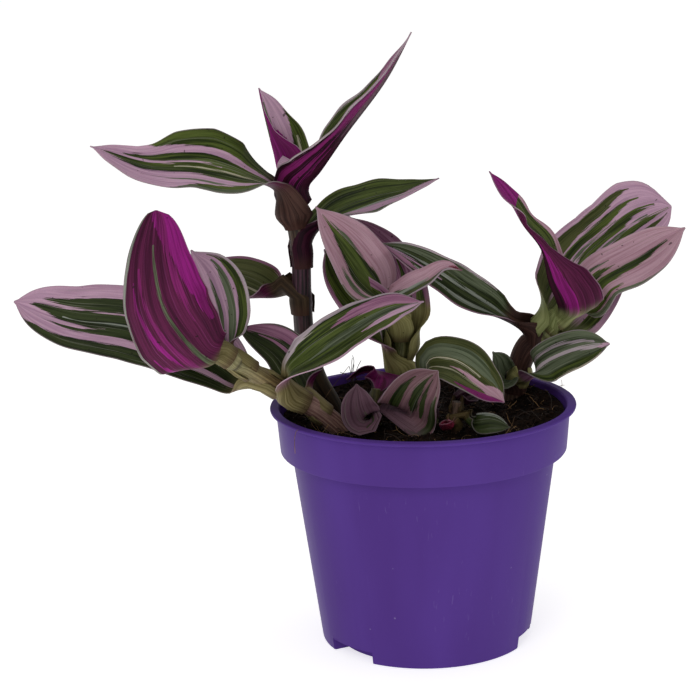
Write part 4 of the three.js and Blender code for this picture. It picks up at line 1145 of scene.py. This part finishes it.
# ---- Pot -------------------------------------------------------------------------------------
def ring_up(piece, radius, height):
    """Extrudes the selected ring of edges to a new radius and height."""
    bpy.ops.mesh.extrude_edges_move()
    mesh = bmesh.from_edit_mesh(piece.data)
    for vertex in mesh.verts:
        if vertex.select:
            reach = math.hypot(vertex.co.x, vertex.co.y)
            vertex.co.x *= radius * MM / reach
            vertex.co.y *= radius * MM / reach
            vertex.co.z = height * MM
    bmesh.update_edit_mesh(piece.data)


def turned_shell(name, profile):
    """A closed body of revolution, extruded ring by ring along its radii and heights."""
    deselect()
    radius, height = profile[0]
    bpy.ops.mesh.primitive_circle_add(vertices=POT_SIDES, radius=radius * MM, fill_type="NGON",
                                      location=(0, 0, 0))
    piece = bpy.context.object
    piece.name = name
    piece.data.transform(Matrix.Translation((0, 0, height * MM)))
    bpy.ops.object.mode_set(mode="EDIT")
    bpy.ops.mesh.select_mode(type="EDGE")
    bpy.ops.mesh.select_all(action="SELECT")
    for radius, height in profile[1:]:
        ring_up(piece, radius, height)
    bpy.ops.mesh.edge_face_add()
    bpy.ops.mesh.select_mode(type="VERT")
    bpy.ops.object.mode_set(mode="OBJECT")
    outwards(piece)
    return piece


def pot_outline(pot):
    """Radius and height up the outside: body, step, band and lip, with their corners rounded."""
    foot = pot.height - BAND_HEIGHT
    return [
        (BODY_BOTTOM_RADIUS - CORNER, 0), (BODY_BOTTOM_RADIUS - 0.25, 0.2),
        (BODY_BOTTOM_RADIUS, CORNER),
        (BODY_TOP_RADIUS, foot + STEP_DROP), (BAND_BOTTOM_RADIUS - 0.8, foot + 0.1),
        (BAND_BOTTOM_RADIUS - 0.3, foot + 0.05), (BAND_BOTTOM_RADIUS, foot + 0.5),
        (BAND_TOP_RADIUS, pot.height - LIP_THICKNESS - 0.7),
        (pot.lip_radius - 0.7, pot.height - LIP_THICKNESS - 0.1),
        (pot.lip_radius - 0.15, pot.height - LIP_THICKNESS + 0.2),
        (pot.lip_radius, pot.height - LIP_THICKNESS / 2),
        (pot.lip_radius - 0.15, pot.height - 0.2), (pot.lip_radius - 0.5, pot.height),
    ]


def pot_hollow(pot, shrink):
    """Radius and height down the inside, from the lip to the floor."""
    foot = pot.height - BAND_HEIGHT
    return [
        (BAND_TOP_RADIUS - WALL - shrink + 0.5, pot.height),
        (BAND_TOP_RADIUS - WALL - shrink, pot.height - 0.6),
        (BAND_BOTTOM_RADIUS - WALL - shrink, foot + STEP_DROP + WALL + shrink),
        (BODY_TOP_RADIUS - WALL - shrink, foot + STEP_DROP - 1),
        (BODY_BOTTOM_RADIUS - WALL - shrink + 0.15, FLOOR + shrink + 0.8),
        (BODY_BOTTOM_RADIUS - WALL - shrink - 0.8, FLOOR + shrink),
    ]


def notch_block(middle, grow):
    """A block as wide, deep and high as a drain notch plus the wall round it."""
    spread = NOTCH_WIDTH / 2 + math.degrees(grow / NOTCH_INNER_RADIUS)
    deselect()
    bpy.ops.mesh.primitive_circle_add(vertices=2 * NOTCH_POINTS, radius=1.0, fill_type="NGON",
                                      location=(0, 0, 0))
    block = bpy.context.object
    angles = np.radians(np.linspace(middle - spread, middle + spread, NOTCH_POINTS))
    rim = [(reach * math.cos(a), reach * math.sin(a), -NOTCH_DEPTH)
           for reach, side in ((NOTCH_REACH, angles), (NOTCH_INNER_RADIUS - grow, angles[::-1]))
           for a in side]
    set_places(block, np.array(rim) * MM)
    bpy.ops.object.mode_set(mode="EDIT")
    bpy.ops.mesh.select_all(action="SELECT")
    bpy.ops.mesh.extrude_region_move(
        TRANSFORM_OT_translate={"value": (0, 0, (NOTCH_HEIGHT + grow + NOTCH_DEPTH) * MM)})
    bpy.ops.object.mode_set(mode="OBJECT")
    outwards(block)
    return block


def drain_hole(middle):
    """A rod that drills the hole in a notch's ceiling."""
    reach, angle = (NOTCH_INNER_RADIUS + BODY_BOTTOM_RADIUS) / 2, math.radians(middle)
    deselect()
    bpy.ops.mesh.primitive_cylinder_add(vertices=32, radius=DRAIN_RADIUS * MM, depth=4 * WALL * MM,
                                        location=(0, 0, 0))
    rod = bpy.context.object
    rod.data.transform(Matrix.Translation(
        (reach * math.cos(angle) * MM, reach * math.sin(angle) * MM, NOTCH_HEIGHT * MM)))
    return rod


def cut(piece, tool, operation):
    """Joins the tool to the piece, cuts it out, or keeps what both fill, and deletes the tool."""
    apply_modifier(piece, "BOOLEAN", operation=operation, object=tool, solver="EXACT")
    bpy.data.objects.remove(tool)


def model_pot(pot):
    """The moulded pot. Each drain notch gets its walls first, then is cut out and drilled."""
    piece = turned_shell("moulded_pot", pot_outline(pot) + pot_hollow(pot, 0))
    for middle in NOTCHES:
        recess = turned_shell("recess", pot_outline(pot)[:4])
        cut(recess, notch_block(middle, WALL), "INTERSECT")
        cut(piece, recess, "UNION")
        cut(piece, notch_block(middle, 0), "DIFFERENCE")
        cut(piece, drain_hole(middle), "DIFFERENCE")
    apply_modifier(piece, "BEVEL", width=EDGE_ROUND * MM, segments=2, limit_method="ANGLE",
                   angle_limit=math.radians(50))
    piece.data.materials.append(pot_plastic(pot))
    smooth_shaded(piece, 32)
    hand_over(piece, "pot", "pot")


# ---- Soil ------------------------------------------------------------------------------------
# the bank along the wall rises between these radii, and is highest in this direction
BANK_START = 38.0
BANK_END = 53.0
BANK_SIDE = (0.45, 0.89)
# heights of the broad hollows and the grit, and widths of the lumps and the grit
HOLLOWS = 1.1
GRIT = 0.35
LUMP_SIZE = 5.0
GRIT_SIZE = 1.1
# crumbs and fibres keep this far from the wall
CRUMB_MARGIN = 1.5
FIBRE_MARGIN = 4
# the surface grows level this close to the wall
LEVEL_EDGE = 2.5
CRUMB_RADII = (0.35, 0.9)
# the share of the crumbs that are twice as large
LARGE_CRUMBS = 0.12
CRUMB_SHAPES = 5
CRUMB_ROUGHNESS = 0.35
# a crumb's reach in its three directions, as shares of its radius
CRUMB_FORM = (1.0, 0.75, 0.55)
# half the size of the patch that a tuft grows from
TUFT_SPREAD = 3
FIBRE_LENGTHS = (3, 11)
FIBRE_STEPS = 6
# one fibre in this many is a pale one
PALE_FIBRES = 3
PALE_RADIUS = 0.11
DARK_RADIUS = 0.14
# root tufts: place, heading, number of threads, longest in millimetres, pale or not
TUFTS = [
    ((-30, 46), (0.2, -0.2, 1.0), 18, 13, False), ((-16, 48), (-0.3, -0.2, 0.8), 10, 9, False),
    ((-24, 30), (0.4, 0.0, 0.6), 12, 12, False), ((52, 26), (1.0, 0.2, 0.12), 8, 12, True),
    ((-40, -14), (0.4, 0.3, 0.5), 9, 12, True), ((26, -40), (0.5, 0.2, 0.3), 6, 9, True),
]
# loose threads: one leans on the leaves at the left, one hangs over the lip
STRAYS = [
    [(-29, 8, 108), (-34, 2, 103), (-38, -6, 99), (-42, -12, 94)],
    [(-43.5, -33, 93.5), (-47, -37.5, 96), (-48.6, -38.6, 92), (-48.2, -38.9, 86)],
]


def soil_bank(x, y, soil):
    """Soil pushed up against the wall, most of it at the rear."""
    radius = math.hypot(x, y)
    side = 0.5 + 0.5 * (BANK_SIDE[0] * x + BANK_SIDE[1] * y) / max(radius, 1.0)
    return soil.bank * side * smooth(BANK_START, BANK_END, radius)


def soil_height(x, y, soil):
    """Height of the soil's surface in millimetres: broad hollows, lumps and grit.

    The hollows are waves of 38 and 33 mm across each other, and a slanted one of 22 mm.
    """
    broad = math.sin(x / 6.1 + 1.3) * math.cos(y / 5.3) + 0.6 * math.sin((x - 2 * y) / 7.7)
    lumps = noise.fractal(Vector((x / LUMP_SIZE, y / LUMP_SIZE, 3.0)), 0.8, 2.1, 5)
    grit = noise.noise(Vector((x / GRIT_SIZE, y / GRIT_SIZE, 9.0)))
    return soil.top + soil_bank(x, y, soil) + HOLLOWS * broad + soil.lumps * lumps + GRIT * grit


def random_place(pick, radius):
    """A place on a disc of this radius, with the same odds all over it."""
    reach, angle = radius * math.sqrt(pick.random()), pick.uniform(0, 2 * math.pi)
    return reach * math.cos(angle), reach * math.sin(angle)


def model_soil(pot, soil):
    """The soil bed, which fills the pot. Gives the radius of its surface."""
    *_, foot, waist, corner, floor = pot_hollow(pot, GAP)
    rim = foot[0] + (soil.top - foot[1]) * (BAND_TOP_RADIUS - BAND_BOTTOM_RADIUS) / BAND_HEIGHT
    cells = soil.cells
    piece = sheet("coir_soil_bed", cells, cells)
    places = []
    for row in range(cells + 1):
        for column in range(cells + 1):
            a, b = 2 * column / cells - 1, 2 * row / cells - 1
            x, y = rim * a * math.sqrt(1 - b * b / 2), rim * b * math.sqrt(1 - a * a / 2)
            edge = smooth(rim, rim - LEVEL_EDGE, math.hypot(x, y))
            wall = soil.top + soil_bank(x, y, soil)
            places.append((x * MM, y * MM, mix(wall, soil_height(x, y, soil), edge) * MM))
    set_places(piece, places)
    make_active(piece)
    bpy.ops.object.mode_set(mode="EDIT")
    bpy.ops.mesh.select_mode(type="EDGE")
    bpy.ops.mesh.select_all(action="DESELECT")
    bpy.ops.mesh.select_non_manifold()
    for radius, height in (foot, waist, corner, floor):
        ring_up(piece, radius, height)
    bpy.ops.mesh.edge_face_add()
    bpy.ops.mesh.select_mode(type="VERT")
    bpy.ops.object.mode_set(mode="OBJECT")
    outwards(piece)
    for middle in NOTCHES:
        cut(piece, notch_block(middle, WALL + GAP), "DIFFERENCE")
    piece.data.materials.append(coir_soil(soil))
    smooth_shaded(piece, 60)
    hand_over(piece, "soil", "soil")
    return rim


def crumb_shapes():
    """A few irregular crumbs of unit size: their points and faces."""
    shapes = []
    for number in range(CRUMB_SHAPES):
        deselect()
        bpy.ops.mesh.primitive_ico_sphere_add(subdivisions=1, radius=1.0)
        crumb = bpy.context.object
        points = np.array([v.co for v in crumb.data.vertices])
        shift = Vector((3 + number, 0, 0))
        points *= [[1 + CRUMB_ROUGHNESS * noise.noise(Vector(p) * 1.7 + shift)] for p in points]
        faces = [tuple(polygon.vertices) for polygon in crumb.data.polygons]
        bpy.data.objects.remove(crumb)
        shapes.append((points * CRUMB_FORM, faces))
    return shapes


def scatter(name, shapes, places, material):
    """One piece made of many small copies, each at its place, size and turn."""
    points, faces = [], []
    for number, (place, size, turn) in enumerate(places):
        shape, sides = shapes[number % len(shapes)]
        first = len(points)
        for p in shape:
            points.append(turn @ Vector(p * size) + Vector(place))
        faces.extend(tuple(first + i for i in side) for side in sides)
    mesh = bpy.data.meshes.new(name)
    mesh.from_pydata([tuple(p * MM) for p in points], [], faces)
    piece = bpy.data.objects.new(name, mesh)
    bpy.context.scene.collection.objects.link(piece)
    mesh.materials.append(material)
    smooth_shaded(piece, 50)
    hand_over(piece, "soil")


def model_crumbs(soil, rim, material):
    """Loose crumbs, each sunk a little into the soil."""
    pick = random.Random(11)
    places = []
    for _ in range(soil.crumbs):
        x, y = random_place(pick, rim - CRUMB_MARGIN)
        size = pick.uniform(*CRUMB_RADII) * (2.0 if pick.random() < LARGE_CRUMBS else 1.0)
        turn = (Matrix.Rotation(pick.uniform(0, TURN), 3, "Z")
                @ Matrix.Rotation(pick.uniform(-0.7, 0.7), 3, "X"))
        places.append(((x, y, soil_height(x, y, soil) + 0.15 * size), size, turn))
    scatter("coir_crumbs", crumb_shapes(), places, material)


def threads(name, paths, radius, material):
    """Thin round threads along paths in millimetres, as one piece."""
    deselect()
    bpy.ops.curve.primitive_nurbs_path_add(location=(0, 0, 0))
    piece = bpy.context.object
    piece.name = name
    curve = piece.data
    curve.splines.clear()
    curve.dimensions = "3D"
    curve.bevel_depth = radius * MM
    curve.bevel_resolution = 1
    curve.use_fill_caps = True
    curve.resolution_u = 3
    for path in paths:
        spline = curve.splines.new("NURBS")
        spline.points.add(len(path) - 1)
        for point, place in zip(spline.points, path):
            point.co = (place[0] * MM, place[1] * MM, place[2] * MM, 1.0)
        spline.order_u = 3
        spline.use_endpoint_u = True
    make_active(piece)
    bpy.ops.object.convert(target="MESH")
    piece = bpy.context.object
    piece.data.materials.clear()
    piece.data.materials.append(material)
    smooth_shaded(piece, 60)
    hand_over(piece, "soil")


def wandering(pick, start, heading, length, droop, turn):
    """A path of short steps that wanders from its heading, and sinks by the droop."""
    place, heading = np.array(start, float), unit(np.array(heading, float))
    path = [tuple(place)]
    for _ in range(FIBRE_STEPS):
        change = np.array([pick.uniform(-turn, turn) for _ in range(3)])
        heading = unit(heading + change + (0, 0, droop))
        place = place + heading * length / FIBRE_STEPS
        path.append(tuple(place))
    return path


def model_fibres(soil, rim):
    """Stray threads, root tufts and fibres that lie on the soil: a pale and a dark piece."""
    pick = random.Random(5)
    light, dark = list(STRAYS), []
    for (x, y), heading, count, longest, pale in TUFTS:
        for _ in range(count):
            a, b = (middle + pick.uniform(-TUFT_SPREAD, TUFT_SPREAD) for middle in (x, y))
            spread = np.array(heading) + [pick.uniform(-0.6, 0.6) for _ in range(3)]
            start = (a, b, soil_height(a, b, soil) - 0.5)
            length = longest * pick.uniform(0.4, 1)
            (light if pale else dark).append(wandering(pick, start, spread, length, -0.03, 0.5))
    for number in range(soil.fibres):
        x, y = random_place(pick, rim - FIBRE_MARGIN)
        heading = (pick.uniform(-1, 1), pick.uniform(-1, 1), pick.uniform(-0.1, 0.35))
        start = (x, y, soil_height(x, y, soil) + 0.3)
        path = wandering(pick, start, heading, pick.uniform(*FIBRE_LENGTHS), -0.08, 0.45)
        # on the soil, and only as far as the wall
        path = [(a, b, max(c, soil_height(a, b, soil) - 0.1)) for a, b, c in path
                if math.hypot(a, b) < rim - 1]
        if len(path) > 3:
            (dark if number % PALE_FIBRES else light).append(path)
    threads("coir_fibres_pale", light, PALE_RADIUS,
            dry_fibre("dry_coir_fibre", "#4a3420", "#8a6a42"))
    threads("coir_fibres_dark", dark, DARK_RADIUS,
            dry_fibre("damp_coir_fibre", "#170f0a", "#38261a"))


# ---- Stage -----------------------------------------------------------------------------------
# in metres: the floor's width, and the point that the softboxes are aimed at
FLOOR_WIDTH = 14.0
LIT_POINT = (0.0, 0.0, 0.12)
# how bright the camera sees the surroundings
BACKDROP = 1.05
# place and size in metres, and share of the softboxes' power
SOFTBOXES = {
    "softbox_front": ((-0.5, -1.5, 1.2), 1.1, 1.0),
    "softbox_top": ((0.1, 0.1, 1.6), 1.0, 0.4),
}


def soft_light(name, place, size, power):
    """A round softbox that is aimed at the leaves."""
    deselect()
    bpy.ops.object.light_add(type="AREA", location=place)
    light = bpy.context.object
    light.name = name
    light.data.shape = "DISK"
    light.data.size = size
    light.data.energy = power
    light.rotation_euler = (Vector(LIT_POINT) - Vector(place)).to_track_quat("-Z", "Y").to_euler()


def aim_camera(stage):
    """Long lens, slightly above the leaves, turned and tipped as in the photograph."""
    yaw, pitch, roll = stage.camera_yaw, stage.camera_pitch, stage.camera_roll
    ahead = Vector((
        math.sin(yaw) * math.cos(pitch), math.cos(yaw) * math.cos(pitch), -math.sin(pitch)))
    level = Vector((math.cos(yaw), -math.sin(yaw), 0))
    above = level.cross(ahead)
    right = math.cos(roll) * level + math.sin(roll) * above
    top = -math.sin(roll) * level + math.cos(roll) * above
    bpy.ops.object.camera_add(location=stage.camera_place)
    camera = bpy.context.object
    camera.data.lens = stage.camera_lens
    camera.data.sensor_width = 36.0
    camera.data.clip_end = 20.0
    turn = Matrix((right, top, -ahead)).transposed()
    camera.matrix_world = Matrix.Translation(stage.camera_place) @ turn.to_4x4()
    bpy.context.scene.camera = camera


def set_stage(stage):
    """A white floor, white surroundings, two softboxes and the camera."""
    deselect()
    bpy.ops.mesh.primitive_grid_add(x_subdivisions=24, y_subdivisions=24, size=FLOOR_WIDTH)
    floor = bpy.context.object
    floor.name = "studio_floor"
    floor.data.materials.append(light_table(stage))
    world = bpy.context.scene.world or bpy.data.worlds.new("studio")
    bpy.context.scene.world = world
    world.use_nodes = True
    # the camera sees a white backdrop, and the plant gets the soft light of dimmer surroundings
    seen = add(world.node_tree, "LightPath", {}, output="Is Camera Ray")
    strength = add(world.node_tree, "MapRange", {}, seen, 0.0, 1.0, stage.ambient, BACKDROP)
    wire(world.node_tree.nodes["Background"], {"Color": WHITE, "Strength": strength})
    for name, (place, size, share) in SOFTBOXES.items():
        soft_light(name, place, size, stage.key_power * share)
    aim_camera(stage)
    bpy.context.scene.view_settings.view_transform = "Standard"


# ---- Settings --------------------------------------------------------------------------------
class PotSettings(bpy.types.PropertyGroup):
    """Sizes and colours of the pot"""
    height: bpy.props.FloatProperty(
        name="Height", description="Height of the pot in millimetres", default=95.0,
        min=60.0, max=140.0)
    lip_radius: bpy.props.FloatProperty(
        name="Lip radius", description="Outer radius of the lip in millimetres", default=60.0,
        min=40.0, max=90.0)
    plastic_dark: colour_setting("Plastic, darker flow", "#4d317d")
    plastic_light: colour_setting("Plastic, lighter flow", "#543889")


class SoilSettings(bpy.types.PropertyGroup):
    """Sizes, counts and colours of the soil"""
    top: bpy.props.FloatProperty(
        name="Top", description="Height of the soil's surface in millimetres", default=88.0)
    lumps: bpy.props.FloatProperty(
        name="Lumps", description="How far lumps rise and sink in millimetres", default=0.9,
        min=0.0, max=3.0)
    bank: bpy.props.FloatProperty(
        name="Bank", description="How far soil is pushed up at the wall in millimetres", default=5.0,
        min=0.0, max=6.0)
    cells: bpy.props.IntProperty(
        name="Cells", description="Cells across the surface", default=150, min=40, max=250)
    crumbs: bpy.props.IntProperty(
        name="Crumbs", description="Loose crumbs on the surface", default=2200, min=0, max=6000)
    fibres: bpy.props.IntProperty(
        name="Fibres", description="Coir fibres on the surface", default=420, min=0, max=2000)
    # the dark tone is painted shade in the hollows between the crumbs, the light one is on their tops
    damp_dark: colour_setting("Soil between the crumbs", "#060302")
    damp_light: colour_setting("Soil on the crumbs", "#20140d")


class LeafSettings(bpy.types.PropertyGroup):
    """Sizes of every leaf, and below a dark and a light tone of each tissue"""
    thickness: bpy.props.FloatProperty(
        name="Thickness", description="Thickness of a blade in millimetres", default=0.7,
        min=0.3, max=1.5)
    columns: bpy.props.IntProperty(
        name="Columns", description="Cells across a blade, an even number", default=40,
        min=12, max=80)
    row_spacing: bpy.props.FloatProperty(
        name="Row spacing", description="Millimetres between rows of a blade", default=1.2,
        min=0.5, max=5.0)


for tissue, (dark, light) in TONES.items():
    words = tissue.replace("_", " ").capitalize()
    LeafSettings.__annotations__[tissue + "_dark"] = colour_setting(words + ", dark tone", dark)
    LeafSettings.__annotations__[tissue + "_light"] = colour_setting(words + ", light tone", light)


class StageSettings(bpy.types.PropertyGroup):
    """Floor, lights and camera"""
    floor_colour: colour_setting("Light table", "#e6e5e4")
    ambient: bpy.props.FloatProperty(
        name="Ambient", description="Strength of the white surroundings", default=0.42,
        min=0.0, max=3.0)
    key_power: bpy.props.FloatProperty(
        name="Softbox power", description="Power of the front softbox", default=7.0,
        min=0.0, unit="POWER")
    camera_place: bpy.props.FloatVectorProperty(
        name="Camera place", description="Where the camera stands", default=(0.0, -0.776, 0.2982),
        subtype="TRANSLATION", unit="LENGTH")
    camera_yaw: bpy.props.FloatProperty(
        name="Yaw", description="Turn to the right", default=math.radians(-2.07), subtype="ANGLE")
    camera_pitch: bpy.props.FloatProperty(
        name="Pitch", description="Tilt downwards", default=math.radians(13.17), subtype="ANGLE")
    camera_roll: bpy.props.FloatProperty(
        name="Roll", description="Tip about the view", default=math.radians(-1.40), subtype="ANGLE")
    camera_lens: bpy.props.FloatProperty(
        name="Lens", description="Focal length", default=105.0, min=20.0, unit="CAMERA")


# ---- Operators -------------------------------------------------------------------------------
class PLANT_OT_pot(bpy.types.Operator):
    """Models the moulded nursery pot"""
    bl_idname = "plant.pot"
    bl_label = "Pot"

    def execute(self, context):
        model_pot(context.scene.plant_pot)
        return {"FINISHED"}


class PLANT_OT_soil(bpy.types.Operator):
    """Models the soil bed with its crumbs and fibres"""
    bl_idname = "plant.soil"
    bl_label = "Soil"

    def execute(self, context):
        soil = context.scene.plant_soil
        rim = model_soil(context.scene.plant_pot, soil)
        model_crumbs(soil, rim, bpy.data.materials["damp_coir_soil"])
        model_fibres(soil, rim)
        return {"FINISHED"}


class PLANT_OT_stems(bpy.types.Operator):
    """Models the fleshy stems with their nodes"""
    bl_idname = "plant.stems"
    bl_label = "Stems"

    def execute(self, context):
        for number, name in enumerate(STEMS):
            model_stem(name, number * 3.7)
        return {"FINISHED"}


class PLANT_OT_leaves(bpy.types.Operator):
    """Models every leaf from its sheath to its tip"""
    bl_idname = "plant.leaves"
    bl_label = "Leaves"

    def execute(self, context):
        for number, name in enumerate(LEAVES):
            model_leaf(name, context.scene.plant_leaf, number * 7.3)
        return {"FINISHED"}


class PLANT_OT_stage(bpy.types.Operator):
    """Sets the floor, the lights and the camera"""
    bl_idname = "plant.stage"
    bl_label = "Stage"

    def execute(self, context):
        set_stage(context.scene.plant_stage)
        return {"FINISHED"}


class PLANT_PT_panel(bpy.types.Panel):
    bl_label = "Potted tradescantia"
    bl_idname = "PLANT_PT_panel"
    bl_space_type = "VIEW_3D"
    bl_region_type = "UI"
    bl_category = "Plant"

    def draw(self, context):
        for operator in OPERATORS:
            self.layout.operator(operator.bl_idname)


OPERATORS = (PLANT_OT_pot, PLANT_OT_soil, PLANT_OT_stems, PLANT_OT_leaves, PLANT_OT_stage)
SETTINGS = {"plant_pot": PotSettings, "plant_soil": SoilSettings, "plant_leaf": LeafSettings,
            "plant_stage": StageSettings}


def register():
    for name, group in SETTINGS.items():
        bpy.utils.register_class(group)
        setattr(bpy.types.Scene, name, bpy.props.PointerProperty(type=group))
    for item in (*OPERATORS, PLANT_PT_panel):
        bpy.utils.register_class(item)


def unregister():
    for item in (PLANT_PT_panel, *reversed(OPERATORS)):
        bpy.utils.unregister_class(item)
    for name, group in SETTINGS.items():
        delattr(bpy.types.Scene, name)
        bpy.utils.unregister_class(group)


def main():
    register()
    bpy.ops.plant.pot()
    bpy.ops.plant.soil()
    bpy.ops.plant.stems()
    bpy.ops.plant.leaves()
    bpy.ops.plant.stage()


if __name__ == "__main__":
    main()
